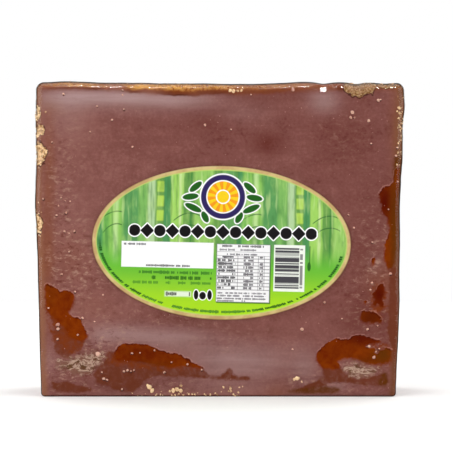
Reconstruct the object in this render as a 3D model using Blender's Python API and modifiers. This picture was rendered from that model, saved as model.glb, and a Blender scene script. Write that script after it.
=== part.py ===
"""A moulded block of unrefined cane sugar in tight clear film, with an oval paper label on its front.

Run it with: blender --background --python part.py
Metres, +Z up. The block stands on its flat base, the label faces -Y, and the origin is the middle of the base.
One rounded box, warped by the functions below, gives the block; the label and the film's folds follow it.
"""

import math
from collections import namedtuple

import bmesh
import bpy
from mathutils import Vector

MM = 0.001

# The mould, before its swells and ripples
HEIGHT = 126 * MM
DEPTH = 40 * MM
NOMINAL_HALF_WIDTH = 73 * MM
BASE_RADIUS = 1.5 * MM
TOP_RADIUS = 3.2 * MM

# Ripples of the cast faces: crossing waves, each shorter than the one before and turned from it
RIPPLE_HEIGHT = 0.28 * MM
RIPPLE_WAVES = 4
RIPPLE_LONGEST = 62 * MM
RIPPLE_SHORTER_BY = 11 * MM
RIPPLE_TURN = 2.4
SIDE_SEED = 2
FACE_SEED = 5
TOP_SEED = 8.5

# The top's unevenness fades out below this share of the height
CREST_START = 0.8

# Grid lines on the block: close together along each rounded edge, then a steady cell
RIM_STEPS = (0.9 * MM, 2.0 * MM, 3.4 * MM, 5.5 * MM)
CELL_ACROSS = 5.1 * MM
CELL_UP = 4.3 * MM

# What lies on the block keeps a small gap to it
TOUCH_GAP = 0.3 * MM
SHEET_THICKNESS = 0.3 * MM

# The oval label
LABEL_WIDTH = 103.6 * MM
LABEL_HEIGHT = 61.6 * MM
LABEL_X = 0.5 * MM
LABEL_Z = 61.6 * MM
LABEL_GRID = (26, 16)

# The film's lap seal along the back
SEAL_LENGTH = 132 * MM
SEAL_WIDTH = 12 * MM
SEAL_Z = 64 * MM
SEAL_GRID = (26, 3)

# The film's folded flap on each end
FLAP_DEPTH = 21 * MM
FLAP_START_Y = 16.4 * MM
FLAP_LOW_Z = 5 * MM
FLAP_HIGH_Z = 121 * MM
FLAP_GRID = (5, 22)

Side = namedtuple("Side", "base_half lean swells")
Swell = namedtuple("Swell", "at reach height")
Dent = namedtuple("Dent", "x y z reach_x reach_y reach_z depth")
Finish = namedtuple("Finish", "name colour roughness alpha")

SUGAR = Finish("raw_sugar", (0.24, 0.085, 0.07), 0.35, 1.0)
PAPER = Finish("printed_paper", (0.30, 0.55, 0.12), 0.4, 1.0)
FILM = Finish("clear_film", (0.75, 0.72, 0.70), 0.12, 0.4)

# Each side leans outwards from the base to the top, with soft swells, in millimetres, at heights along it
RIGHT_SWELLS = (Swell(34, 14, 0.66), Swell(76, 12, -0.3), Swell(98, 7, 0.3), Swell(116.5, 5, 0.7))
LEFT_SWELLS = (Swell(76, 16, 0.75), Swell(122, 8, -0.25))
SIDES = {
    1: Side(70.3 * MM, 3.6 * MM, RIGHT_SWELLS),
    -1: Side(72.0 * MM, 2.6 * MM, LEFT_SWELLS),
}

# The uneven pour line along the top, as swells, in millimetres, at places across the block
TOP_SWELLS = (
    Swell(-58.5, 9, 0.4),
    Swell(0, 24, -0.4),
    Swell(32.7, 6, 0.4),
    Swell(40.7, 2.6, -0.5),
    Swell(53.5, 3, -0.6),
    Swell(65, 4, -0.3),
)

# Chips broken from the rim and crumbly hollows, in millimetres: place, reach and depth
CHIPS = (
    Dent(55.9, -20, 124.5, 7.5, 4.5, 4.8, 1.3),
    Dent(66.5, -20, 126.0, 5.0, 4.0, 2.6, 0.6),
    Dent(-72.6, -19, 106.8, 3.2, 4.0, 2.6, 0.9),
    Dent(-72.6, -19, 96.8, 3.6, 4.5, 5.0, 1.1),
    Dent(-73.0, -19, 69.2, 2.4, 4.0, 4.2, 0.8),
    Dent(-73.6, -19, 113.8, 2.0, 3.5, 3.4, 0.6),
    Dent(-59.1, -20, 12.4, 8.5, 3.0, 5.0, 0.7),
    Dent(55.9, -20, 11.2, 7.5, 3.0, 4.0, 0.7),
    Dent(-28.1, -20, 2.4, 3.5, 3.0, 3.0, 0.5),
    Dent(-16.0, -20, 2.2, 6.5, 3.0, 3.2, 0.6),
    Dent(2.7, -20, 2.2, 4.0, 3.0, 3.2, 0.5),
    Dent(-30.0, 19, 125.5, 9.0, 5.0, 4.0, 1.0),
    Dent(72.5, 18, 88.0, 4.0, 5.0, 6.0, 1.0),
    Dent(-72.5, 18, 30.0, 4.0, 5.0, 5.0, 0.9),
)


def bell(distance, reach):
    """1 at the middle, falling softly to nearly nothing at twice the reach."""
    return math.exp(-((distance / reach) ** 2))


def swelling(place, swells):
    """The sum of the swells at one place, given back in metres."""
    return sum(swell.height * bell(place / MM - swell.at, swell.reach) for swell in swells) * MM


def ripple(across, up, seed):
    """Slow unevenness of a cast face, from crossing waves."""
    total = 0.0
    for wave in range(RIPPLE_WAVES):
        angle = seed + RIPPLE_TURN * wave
        wavelength = RIPPLE_LONGEST - RIPPLE_SHORTER_BY * wave
        along = across * math.cos(angle) + up * math.sin(angle)
        total += math.sin(2 * math.pi * along / wavelength + seed * wave)
    return RIPPLE_HEIGHT * total / RIPPLE_WAVES


def half_width(y, z, side):
    """From the middle plane to the right (side 1) or left (side -1) face, at one depth and height."""
    shape = SIDES[side]
    leaning = shape.base_half + shape.lean * z / HEIGHT
    return leaning + swelling(z, shape.swells) + ripple(y, z, SIDE_SEED + side)


def half_depth(x, z, side):
    """From the middle plane to the back (side 1) or front (side -1) face."""
    return DEPTH / 2 + ripple(x, z, FACE_SEED + side)


def top_rise(x, y):
    """How far the poured top stands above or below its mean height."""
    return swelling(x, TOP_SWELLS) + ripple(x, y, TOP_SEED)


def edge_radius(z):
    """Edges are crisp at the base and rounder towards the poured top."""
    return BASE_RADIUS + (TOP_RADIUS - BASE_RADIUS) * z / HEIGHT


def dent_depth(point, dents):
    """How deep the dents cut at a point of the surface."""
    total = 0.0
    for dent in dents:
        reach = (
            ((point.x / MM - dent.x) / dent.reach_x) ** 2
            + ((point.y / MM - dent.y) / dent.reach_y) ** 2
            + ((point.z / MM - dent.z) / dent.reach_z) ** 2
        )
        if reach < 1:
            total += dent.depth * MM * (1 - reach) ** 2
    return total


def surface(x, y, z, lift=0.0, dents=()):
    """Where a point of the plain box lies on the real block, cut by the dents and raised by lift."""
    radius = edge_radius(z)
    limits = (NOMINAL_HALF_WIDTH - radius, DEPTH / 2 - radius)
    core = Vector(
        (
            max(-limits[0], min(limits[0], x)),
            max(-limits[1], min(limits[1], y)),
            max(radius, min(HEIGHT - radius, z)),
        )
    )
    outward = (Vector((x, y, z)) - core).normalized()
    point = core + outward * radius
    side = 1 if point.x > 0 else -1
    face = 1 if point.y > 0 else -1
    crest = max(0.0, point.z / HEIGHT - CREST_START) / (1 - CREST_START)
    warped = Vector(
        (
            point.x * half_width(point.y, point.z, side) / NOMINAL_HALF_WIDTH,
            point.y * half_depth(point.x, point.z, face) / (DEPTH / 2),
            point.z + top_rise(point.x, point.y) * crest**2,
        )
    )
    return warped + outward * (lift - dent_depth(warped, dents))


def grid_lines(low, high, cell):
    """Places of the grid lines between two ends, leaving out the ends."""
    near = [low + step for step in RIM_STEPS]
    far = [high - step for step in RIM_STEPS]
    count = round((far[-1] - near[-1]) / cell)
    middle = [near[-1] + (far[-1] - near[-1]) * index / count for index in range(1, count)]
    return near + middle + far


def block_mesh():
    """A box, cut along its grid lines and laid on the block's surface."""
    width = 2 * NOMINAL_HALF_WIDTH
    form = bmesh.new()
    bmesh.ops.create_cube(form, size=1)
    bmesh.ops.scale(form, vec=(width, DEPTH, HEIGHT), verts=form.verts)
    bmesh.ops.translate(form, vec=(0, 0, HEIGHT / 2), verts=form.verts)
    cuts = (
        (Vector((1, 0, 0)), grid_lines(-width / 2, width / 2, CELL_ACROSS)),
        (Vector((0, 1, 0)), grid_lines(-DEPTH / 2, DEPTH / 2, CELL_ACROSS)),
        (Vector((0, 0, 1)), grid_lines(0, HEIGHT, CELL_UP)),
    )
    for normal, places in cuts:
        for place in places:
            everything = form.verts[:] + form.edges[:] + form.faces[:]
            bmesh.ops.bisect_plane(form, geom=everything, plane_co=normal * place, plane_no=normal)
    for vertex in form.verts:
        vertex.co = surface(*vertex.co, dents=CHIPS)
    return form


def sheet_mesh(grid, place):
    """A flat grid from -1 to 1 each way, laid on the block by the function place, facing outwards."""
    form = bmesh.new()
    bmesh.ops.create_grid(form, x_segments=grid[0], y_segments=grid[1], size=1)
    for vertex in form.verts:
        vertex.co = place(vertex.co.x, vertex.co.y)
    form.normal_update()
    middle = Vector((0, 0, HEIGHT / 2))
    outward = sum(face.normal.dot(face.calc_center_median() - middle) for face in form.faces)
    if outward < 0:
        bmesh.ops.reverse_faces(form, faces=form.faces)
    return form


def label_place(u, v):
    """A square's point on the oval label: the square is squeezed to a disc, then scaled to the oval."""
    x = LABEL_X + LABEL_WIDTH / 2 * u * math.sqrt(1 - v * v / 2)
    z = LABEL_Z + LABEL_HEIGHT / 2 * v * math.sqrt(1 - u * u / 2)
    side = 1 if x > 0 else -1
    nominal_x = x * NOMINAL_HALF_WIDTH / half_width(-DEPTH / 2, z, side)
    return surface(nominal_x, -DEPTH / 2, z, TOUCH_GAP)


def seal_place(u, v):
    """A point of the lap seal: a straight strip across the back."""
    return surface(SEAL_LENGTH / 2 * u, DEPTH / 2, SEAL_Z + SEAL_WIDTH / 2 * v, TOUCH_GAP)


def flap_place(side):
    """A function for the flap on one end: longest along the back edge, with its corners cut at 45 degrees."""

    def place(u, v):
        inward = FLAP_DEPTH * (1 + u) / 2
        middle = (FLAP_LOW_Z + FLAP_HIGH_Z) / 2
        z = middle + ((FLAP_HIGH_Z - FLAP_LOW_Z) / 2 - inward) * v
        return surface(side * NOMINAL_HALF_WIDTH, FLAP_START_Y - inward, z, TOUCH_GAP)

    return place


def clear_scene():
    """Start from nothing."""
    for obj in list(bpy.data.objects):
        bpy.data.objects.remove(obj, do_unlink=True)


def make_material(finish):
    """A plain principled material."""
    material = bpy.data.materials.new(finish.name)
    material.use_nodes = True
    shader = material.node_tree.nodes["Principled BSDF"]
    shader.inputs["Base Color"].default_value = (*finish.colour, 1)
    shader.inputs["Roughness"].default_value = finish.roughness
    shader.inputs["Metallic"].default_value = 0.0
    shader.inputs["Alpha"].default_value = finish.alpha
    return material


def add_object(name, form, material, collection):
    """Turn a bmesh into a named object in the collection."""
    mesh = bpy.data.meshes.new(name)
    form.to_mesh(mesh)
    form.free()
    mesh.materials.append(material)
    mesh.shade_smooth()
    obj = bpy.data.objects.new(name, mesh)
    collection.objects.link(obj)
    return obj


def add_sheet(name, grid, place, material, collection):
    """A thin piece that follows the block: an open surface given its thickness outwards."""
    obj = add_object(name, sheet_mesh(grid, place), material, collection)
    thickness = obj.modifiers.new("thickness", "SOLIDIFY")
    thickness.thickness = SHEET_THICKNESS
    thickness.offset = 1
    thickness.use_even_offset = True
    return obj


def main():
    """Build the block, its label and the film's folds."""
    clear_scene()
    collection = bpy.data.collections.new("rapadura")
    bpy.context.scene.collection.children.link(collection)
    sugar, paper, film = (make_material(finish) for finish in (SUGAR, PAPER, FILM))
    add_object("rapadura_block", block_mesh(), sugar, collection)
    add_sheet("oval_label", LABEL_GRID, label_place, paper, collection)
    add_sheet("back_seal", SEAL_GRID, seal_place, film, collection)
    for side, name in ((-1, "left_end_flap"), (1, "right_end_flap")):
        add_sheet(name, FLAP_GRID, flap_place(side), film, collection)


main()
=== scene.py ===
"""A film-wrapped block of rapadura with an oval label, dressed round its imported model.

The block stands upright with its label facing -Y. Lengths are metres, unless a name or a docstring
says millimetres.
"""

import logging
import math
from dataclasses import dataclass, field
from enum import Enum
from typing import Mapping, Sequence

import bmesh
import bpy
import numpy as np
from bpy.types import Material, Mesh, Node, NodeSocket, NodeTree, Object
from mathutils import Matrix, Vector


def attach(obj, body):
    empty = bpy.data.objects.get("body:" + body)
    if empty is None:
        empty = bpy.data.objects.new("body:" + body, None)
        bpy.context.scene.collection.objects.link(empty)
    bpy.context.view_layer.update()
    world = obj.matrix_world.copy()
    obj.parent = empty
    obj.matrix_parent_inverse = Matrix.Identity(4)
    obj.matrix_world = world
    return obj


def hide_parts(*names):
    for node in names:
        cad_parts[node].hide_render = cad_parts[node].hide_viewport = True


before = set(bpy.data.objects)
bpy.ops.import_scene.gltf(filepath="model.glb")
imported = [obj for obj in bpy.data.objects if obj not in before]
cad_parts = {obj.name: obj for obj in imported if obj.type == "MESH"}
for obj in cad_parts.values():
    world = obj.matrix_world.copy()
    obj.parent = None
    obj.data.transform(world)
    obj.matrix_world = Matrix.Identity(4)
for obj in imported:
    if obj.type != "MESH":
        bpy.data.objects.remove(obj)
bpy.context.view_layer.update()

LOG = logging.getLogger("rapadura")
MM = 0.001
BODY = "root"
TINY = 1e-12

# The photograph: its side, the block's middle and its scale, in pixels
PHOTO_SIDE_PX = 453
PHOTO_MIDDLE_PX = (220.25, 239.3)
PHOTO_PX_PER_MM = 2.5

Array = np.ndarray
Triple = tuple[float, float, float]
Colour = Triple
Outline = tuple[tuple[float, float], ...]


def srgb(red: int, green: int, blue: int) -> Colour:
    """A screen colour, with values from 0 to 255, as linear light."""
    shares = (value / 255 for value in (red, green, blue))
    return tuple(share / 12.92 if share <= 0.04045 else ((share + 0.055) / 1.055) ** 2.4 for share in shares)


WHITE = srgb(255, 255, 255)


class Face(Enum):
    """The two broad faces of the block."""

    FRONT = -1
    BACK = 1


class Side(Enum):
    """The two narrow ends of the block."""

    LEFT = -1
    RIGHT = 1


# ---- noise and curves


def value_noise(points: Array, cell: float, seed: int) -> Array:
    """Smooth noise from a hashed lattice.

    Args:
        points: where to read it, one point a row.
        cell: the lattice's spacing.
        seed: picks another lattice.

    Returns:
        A value from -1 to 1 for each point.
    """
    place = points / cell
    corner = np.floor(place).astype(np.int64)
    share = place - corner
    share = share * share * (3 - 2 * share)
    total = np.zeros(len(points))
    for step in np.ndindex(2, 2, 2):
        offset = np.array(step)
        key = (corner + offset) @ np.array([73856093, 19349663, 83492791]) + seed * 668265263
        key = (key ^ (key >> 13)) * 1274126177
        key = key ^ (key >> 16)
        value = (key & 0xFFFF) / 0x7FFF - 1
        weight = np.prod(np.where(offset == 1, share, 1 - share), axis=1)
        total += weight * value
    return total


def rough_noise(points: Array, cell: float, seed: int) -> Array:
    """Noise with two finer layers on it, each half as coarse and half as strong, from about -1 to 1."""
    layers = (value_noise(points, cell / 2**layer, seed + layer) / 2**layer for layer in range(3))
    return sum(layers) / 1.75


def smooth_step(low: float, high: float, value: Array) -> Array:
    """0 at low, 1 at high and an S curve between them."""
    share = np.clip((value - low) / (high - low), 0, 1)
    return share * share * (3 - 2 * share)


def inside_depth(places: Array, outline: Outline) -> Array:
    """How far inside a closed outline each place is, in the outline's unit.

    Args:
        places: the places, one pair a row.
        outline: the corners in order; they are cut off once before use.

    Returns:
        The distance to the outline, below 0 outside it.
    """
    plain = np.array(outline, dtype=float)
    following = np.roll(plain, -1, axis=0)
    cut = [0.75 * plain + 0.25 * following, 0.25 * plain + 0.75 * following]
    corners = np.stack(cut, axis=1).reshape(-1, 2)
    nearest = np.full(len(places), np.inf)
    inside = np.zeros(len(places), dtype=bool)
    for start, end in zip(corners, np.roll(corners, -1, axis=0)):
        edge = end - start
        offset = places - start
        along = np.clip(offset @ edge / max(edge @ edge, TINY), 0, 1)
        nearest = np.minimum(nearest, np.linalg.norm(offset - along[:, None] * edge, axis=1))
        spans = (start[1] > places[:, 1]) != (end[1] > places[:, 1])
        rise = edge[1] if abs(edge[1]) > TINY else TINY
        inside ^= spans & (places[:, 0] < start[0] + (places[:, 1] - start[1]) * edge[0] / rise)
    return np.where(inside, nearest, -nearest)


# ---- the block's form


@dataclass(frozen=True)
class Swell:
    """A soft swell along an edge: its place, reach and height in millimetres."""

    at: float
    reach: float
    height: float


@dataclass(frozen=True)
class Dent:
    """A chip or hollow: middle, reach along each axis and depth in millimetres; tan if broken sugar."""

    middle: Triple
    reach: Triple
    depth: float
    tan: bool = True

    def share(self, points: Array) -> Array:
        """How far out each point is: 0 at the dent's middle and 1 at its edge."""
        return np.linalg.norm((points / MM - self.middle) / self.reach, axis=1)

    def cut(self, points: Array) -> Array:
        """How deep the dent goes at each point."""
        share = self.share(points)
        return np.where(share < 1, self.depth * MM * (1 - share**2) ** 2, 0)


@dataclass(frozen=True)
class Mould:
    """The form of the wrapped block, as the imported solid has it, for arrays of points."""

    height: float = 126 * MM
    depth: float = 40 * MM
    nominal_half: float = 73 * MM
    base_radius: float = 1.5 * MM
    top_radius: float = 3.2 * MM
    ripple_height: float = 0.28 * MM
    ripple_waves: int = 4
    ripple_longest: float = 62 * MM
    ripple_shorter_by: float = 11 * MM
    ripple_turn: float = 2.4
    side_seed: float = 2
    face_seed: float = 5
    top_seed: float = 8.5
    crest_start: float = 0.8
    right_half: float = 70.3 * MM
    right_lean: float = 3.6 * MM
    left_half: float = 72.0 * MM
    left_lean: float = 2.6 * MM
    right_swells: tuple[Swell, ...] = (
        Swell(34, 14, 0.66), Swell(76, 12, -0.3), Swell(98, 7, 0.3), Swell(116.5, 5, 0.7),
    )
    left_swells: tuple[Swell, ...] = (Swell(76, 16, 0.75), Swell(122, 8, -0.25))
    top_swells: tuple[Swell, ...] = (
        Swell(-58.5, 9, 0.4), Swell(0, 24, -0.4), Swell(32.7, 6, 0.4), Swell(40.7, 2.6, -0.5),
        Swell(53.5, 3, -0.6), Swell(65, 4, -0.3),
    )
    dents: tuple[Dent, ...] = (
        Dent((55.9, -20, 124.5), (7.5, 4.5, 4.8), 1.3),
        Dent((66.5, -20, 126.0), (5.0, 4.0, 2.6), 0.6),
        Dent((-72.6, -19, 106.8), (3.2, 4.0, 2.6), 0.9),
        Dent((-72.6, -19, 96.8), (3.6, 4.5, 5.0), 1.1),
        Dent((-73.0, -19, 69.2), (2.4, 4.0, 4.2), 0.8),
        Dent((-73.6, -19, 113.8), (2.0, 3.5, 3.4), 0.6),
        Dent((-59.1, -20, 12.4), (8.5, 3.0, 5.0), 0.7, False),
        Dent((55.9, -20, 11.2), (7.5, 3.0, 4.0), 0.7, False),
        Dent((-28.1, -20, 2.4), (3.5, 3.0, 3.0), 0.5, False),
        Dent((-16.0, -20, 2.2), (6.5, 3.0, 3.2), 0.6, False),
        Dent((2.7, -20, 2.2), (4.0, 3.0, 3.2), 0.5, False),
        Dent((-30.0, 19, 125.5), (9.0, 5.0, 4.0), 1.0),
        Dent((72.5, 18, 88.0), (4.0, 5.0, 6.0), 1.0),
        Dent((-72.5, 18, 30.0), (4.0, 5.0, 5.0), 0.9),
    )

    def swelling(self, place: Array, swells: Sequence[Swell]) -> Array:
        """The sum of the swells at each place."""
        across = place / MM
        return sum(each.height * np.exp(-(((across - each.at) / each.reach) ** 2)) for each in swells) * MM

    def ripple(self, across: Array, up: Array, seed: Array) -> Array:
        """Slow unevenness of a cast face, from crossing waves.

        Args:
            across, up: places on the face.
            seed: a number for each point that picks the face's own waves.

        Returns:
            The height of the ripple at each point.
        """
        total = np.zeros_like(across)
        for wave in range(self.ripple_waves):
            angle = seed + self.ripple_turn * wave
            wavelength = self.ripple_longest - self.ripple_shorter_by * wave
            along = across * np.cos(angle) + up * np.sin(angle)
            total += np.sin(2 * math.pi * along / wavelength + seed * wave)
        return self.ripple_height * total / self.ripple_waves

    def half_width(self, y: Array, z: Array, side: Array) -> Array:
        """From the middle plane to an end of the block.

        Args:
            y, z: places on the end.
            side: 1 for the right end and -1 for the left one, for each point.

        Returns:
            The half width at each point.
        """
        right = self.right_half + self.right_lean * z / self.height + self.swelling(z, self.right_swells)
        left = self.left_half + self.left_lean * z / self.height + self.swelling(z, self.left_swells)
        return np.where(side > 0, right, left) + self.ripple(y, z, self.side_seed + side)

    def surface(self, points: Array) -> tuple[Array, Array]:
        """Lay points of the plain box on the block.

        Args:
            points: an array of points of the box, one a row.

        Returns:
            Where they lie on the block, and the direction outwards at each.
        """
        radius = self.base_radius + (self.top_radius - self.base_radius) * points[:, 2] / self.height
        low = np.stack([radius - self.nominal_half, radius - self.depth / 2, radius], axis=1)
        high = np.stack([self.nominal_half - radius, self.depth / 2 - radius, self.height - radius], axis=1)
        core = np.clip(points, low, high)
        outward = points - core
        outward /= np.maximum(np.linalg.norm(outward, axis=1, keepdims=True), TINY)
        x, y, z = (core + outward * radius[:, None]).T
        side = np.where(x > 0, 1.0, -1.0)
        face = np.where(y > 0, 1.0, -1.0)
        crest = np.maximum(0.0, z / self.height - self.crest_start) / (1 - self.crest_start)
        half_depth = self.depth / 2 + self.ripple(x, z, self.face_seed + face)
        rise = self.swelling(x, self.top_swells) + self.ripple(x, y, np.full_like(x, self.top_seed))
        wide = x * self.half_width(y, z, side) / self.nominal_half
        deep = y * half_depth / (self.depth / 2)
        return np.stack([wide, deep, z + rise * crest**2], axis=1), outward

    def on_face(self, x: Array, z: Array, face: Face, lift: float | Array) -> Array:
        """Points above the front or the back at true places across and up.

        Args:
            x, z: true places.
            face: the front or the back.
            lift: the height above the wrapped block.

        Returns:
            The points, one a row.
        """
        side = np.where(x > 0, 1.0, -1.0)
        y = np.full_like(x, face.value * self.depth / 2)
        plain_x = x * self.nominal_half / self.half_width(y, z, side)
        laid, outward = self.surface(np.stack([plain_x, y, z], axis=1))
        return laid + outward * np.reshape(lift, (-1, 1))

    def on_end(self, y: Array, z: Array, side: Side, lift: Array) -> Array:
        """Points above the left or the right end.

        Args:
            y, z: places across the end and up.
            side: the end.
            lift: the height above the wrapped block at each point.

        Returns:
            The points, one a row.
        """
        x = np.full_like(y, side.value * self.nominal_half)
        laid, outward = self.surface(np.stack([x, y, z], axis=1))
        return laid + outward * lift[:, None]

    def dented(self, points: Array) -> Array:
        """How deep the chips and hollows go at each point."""
        return sum(dent.cut(points) for dent in self.dents)


MOULD = Mould()


@dataclass(frozen=True)
class Facet:
    """A flat spot pressed on the upper front rim that catches the light, in millimetres."""

    x: float = 41.0
    start_z: float = 121.7
    half_width: float = 2.2
    side_fade: float = 1.4
    top_fade: tuple[float, float] = (2.4, 4.2)
    tilt_degrees: float = 20.4
    least_slant: float = 0.3

    def share(self, points: Array) -> Array:
        """Where the facet is.

        Args:
            points: points on the block.

        Returns:
            1 along its width, 0 beside it and near the top, for each point.
        """
        aside, above = np.abs(points[:, 0] / MM - self.x), points[:, 2] / MM
        along = smooth_step(self.half_width + self.side_fade, self.half_width, aside)
        return along * smooth_step(self.start_z + self.top_fade[1], self.start_z + self.top_fade[0], above)

    def cut(self, points: Array, outward: Array) -> Array:
        """How deep the facet cuts.

        Args:
            points: points on the block.
            outward: the direction outwards at each.

        Returns:
            The depth at each point, along the direction outwards.
        """
        tilt = math.radians(self.tilt_degrees)
        facing = np.array([0, -math.cos(tilt), math.sin(tilt)])
        above = (points - np.array([0, -MOULD.depth / 2, self.start_z * MM])) @ facing
        return np.maximum(above / np.maximum(outward @ facing, self.least_slant), 0) * self.share(points)


GLINT = Facet()


# ---- what shows on the front


@dataclass(frozen=True)
class Cloud:
    """A soft patch on the front: middle and reach in millimetres, and its weight."""

    x: float
    z: float
    reach_x: float
    reach_z: float
    weight: float

    def at(self, places: Array) -> Array:
        """The cloud's share at each place."""
        across, up = (places[:, 0] - self.x) / self.reach_x, (places[:, 1] - self.z) / self.reach_z
        return self.weight * np.exp(-(across**2) - up**2)


def clouds(*rows: tuple[float, ...]) -> tuple[Cloud, ...]:
    """Clouds from rows of middle, reach and weight."""
    return tuple(Cloud(*row) for row in rows)


def top_clouds(*rows: Triple) -> tuple[Cloud, ...]:
    """Clouds along the upper edge from rows of middle, reach and weight."""
    return tuple(Cloud(x, 126, reach, 9, weight) for x, reach, weight in rows)


@dataclass(frozen=True)
class FrontMap:
    """Where film clings, and where tones change, on the front; all in millimetres."""

    wet: tuple[Outline, ...] = (
        ((-70.1, 45.7), (-67.6, 44.4), (-65.8, 43.4), (-64.3, 42.1), (-63.3, 42), (-61.7, 42.5),
         (-60.2, 42.4), (-58.9, 41.4), (-58.3, 40.1), (-58.4, 37.6), (-59.2, 35.5), (-60.5, 33.7),
         (-60.2, 32.7), (-58.4, 31.7), (-56.4, 31.4), (-55.1, 30.6), (-55.4, 29.6), (-54.3, 27.8),
         (-53.3, 25.8), (-52.9, 24.3), (-53.5, 23), (-55.1, 22), (-58.4, 22.6), (-60.9, 24), (-62, 27),
         (-64.8, 29.3), (-65.9, 31.4), (-67.3, 32.4), (-69.1, 33.4), (-69.7, 35.5), (-70.1, 40.6)),
        ((-42.4, 17.6), (-41.5, 19.6), (-40.4, 20.8), (-39.3, 21.4), (-35.7, 21.1), (-30.1, 21),
         (-27.8, 20.3), (-24.2, 18.7), (-20.5, 17.6), (-17.7, 17.4), (-15.4, 16.4), (-13.1, 15.2),
         (-10.4, 13.6), (-8.1, 12.3), (-6.3, 11.1), (-9.7, 11.4), (-13.3, 12.2), (-18.7, 11.6),
         (-23.3, 12), (-29.2, 13.2), (-33.3, 14), (-37.7, 14.2), (-40.7, 14), (-42.1, 15.1)),
        ((66.6, 84.3), (64.6, 83.2), (63.5, 81.4), (63.5, 78.8), (64.4, 76.6), (64.4, 73.9), (65.7, 72.5),
         (67, 71.2), (67, 68.5), (67.7, 67.2), (67, 63.6), (65.5, 61), (65.5, 58.7), (65.3, 56.1),
         (65.5, 54.7), (66.8, 51.5), (69.1, 50.7), (69.6, 53.2), (69.9, 58.8), (70.6, 67.6), (70.8, 74),
         (71.7, 85.4), (72.2, 90.8), (71.5, 92.9), (70.1, 90.8), (69.5, 88.6), (69.1, 85.9), (67.7, 84.3)),
        ((61.7, 55.8), (60.4, 54.3), (60.4, 52.5), (61.3, 51.8), (61.9, 53.4), (62.1, 55)),
        ((64.6, 45.6), (62.8, 44), (61.9, 41.8), (60.8, 40.5), (61.6, 38.7), (61, 36.5), (62.4, 36),
         (63.3, 37.2), (64.1, 35.8), (65.5, 36.2), (64.8, 38.7), (65.7, 40.9), (66.1, 43.6), (65.5, 45.2)),
        ((57.5, 37.8), (58.3, 38.7), (59.2, 37.8), (58.3, 36.9)),
        ((56.6, 34.7), (55.9, 32), (56.3, 29.8), (58.3, 29.4), (60.1, 30.2), (61, 29.4), (62.8, 29.4),
         (64.8, 29.6), (64.1, 31.6), (62.8, 32.9), (61.5, 34.2), (58.8, 33.8)),
        ((38.2, 16.2), (38.9, 17.5), (40, 18.7), (41.2, 20.4), (43.1, 21.7), (45.1, 22.7), (46.8, 23.4),
         (48.2, 23.2), (48.9, 22.6), (49.9, 23.2), (50.6, 22.6), (51.5, 22.8), (52.1, 23.9), (54.1, 24.7),
         (56.3, 24.7), (58, 24.3), (60, 23.6), (62.2, 22.9), (64.5, 22.7), (64.2, 21.5), (63.3, 21),
         (61.7, 21.1), (60.3, 20.7), (58.8, 21), (58.1, 20), (59.3, 19.3), (61.4, 19.6), (62.5, 18.7),
         (61.7, 17.6), (62.8, 17), (65.3, 19.4), (68.7, 19.2), (68.8, 16.2), (68.5, 14), (65.6, 13.3),
         (62.8, 12.8), (60, 12.6), (57.7, 13.3), (56.3, 14.2), (53.2, 15.1), (50.1, 15.1), (47.6, 14.5),
         (47.1, 13.8), (48.2, 12.6), (47.6, 11.2), (45.4, 10.5), (43.1, 11.2), (41.2, 11.4), (39.5, 12.4),
         (38.5, 14)),
    )
    dull: tuple[Outline, ...] = (
        ((-70.5, 46), (-64.1, 38.8), (-60.1, 32.8), (-53.7, 26.8), (-53.5, 22.4), (-55.3, 20),
         (-56.4, 18.2), (-59.4, 17.6), (-60.9, 14.4), (-64.9, 16.6), (-66.2, 18.4), (-66.6, 22.8),
         (-66.6, 27.8), (-69, 34)),
        ((-46, 18), (-42.5, 18.2), (-36.1, 18), (-24.1, 17.2), (-12.1, 13.2), (-6.3, 11), (-5.8, 10.2),
         (-3.9, 8.8), (-1.7, 8.2), (0.6, 8.8), (1.8, 10.2), (2.9, 11.4), (4.1, 11.6), (4.8, 10.4),
         (5.2, 8.6), (6.6, 8.3), (9.8, 8.5), (12.1, 7.9), (11.9, 6.5), (9.8, 6.4), (2.9, 6.6), (-3.9, 7.2),
         (-12.2, 7.6), (-20.9, 7.9), (-26.5, 8.2), (-29.2, 7), (-31.1, 5.4), (-33.3, 2.6), (-36.1, 1.6),
         (-43.3, 2.8), (-44.6, 4.1), (-49.7, 5), (-49.8, 7.5), (-51.1, 8.9), (-49.9, 10.6), (-48.5, 12.3),
         (-45.9, 15.1)),
        ((40.3, 12.8), (47.6, 12.8), (49.9, 9.5), (53.2, 7.8), (57.2, 7.5), (62.8, 8.9), (66.7, 9.5),
         (67, 5.5), (64.2, 4.1), (57.2, 4.4), (51.5, 5.5), (43.7, 5.5), (41.2, 3.9), (34.7, 2.7),
         (31.9, 2.2), (30.2, 2.7), (33.6, 4.7), (38.9, 6.7), (41.2, 8.9)),
        ((67.4, 52), (67.8, 48), (67, 44), (67.8, 40), (66.8, 36), (67.6, 31), (66.4, 27), (67.8, 22),
         (70.4, 12), (71.4, 30), (71.8, 52)),
        ((-68, 6.6), (-65, 5.4), (-62, 6.8), (-58.6, 4.8), (-55, 4.4), (-50, 3), (-54, 1.8), (-60, 1.2),
         (-67, 2.2)),
    )
    olive: tuple[Outline, ...] = (
        ((65, 10), (67.3, 10), (67.3, 4.4), (64.2, 3.8), (62.9, 5.5), (63.9, 7)),
        ((36.7, 3.6), (39.9, 4.2), (46.5, 4), (48.3, 2.8), (46.3, 1.2), (31.9, 1), (25.9, 2), (30.3, 3.2)),
        ((68.6, 92), (70, 96), (72.4, 98), (73.4, 90), (72.6, 80), (70.4, 80)),
        ((69.4, 84), (70.2, 76), (69.4, 68), (67.8, 62), (66, 56), (66.6, 51), (69.6, 52), (71.6, 60),
         (72, 70), (72.6, 84)),
    )
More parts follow.
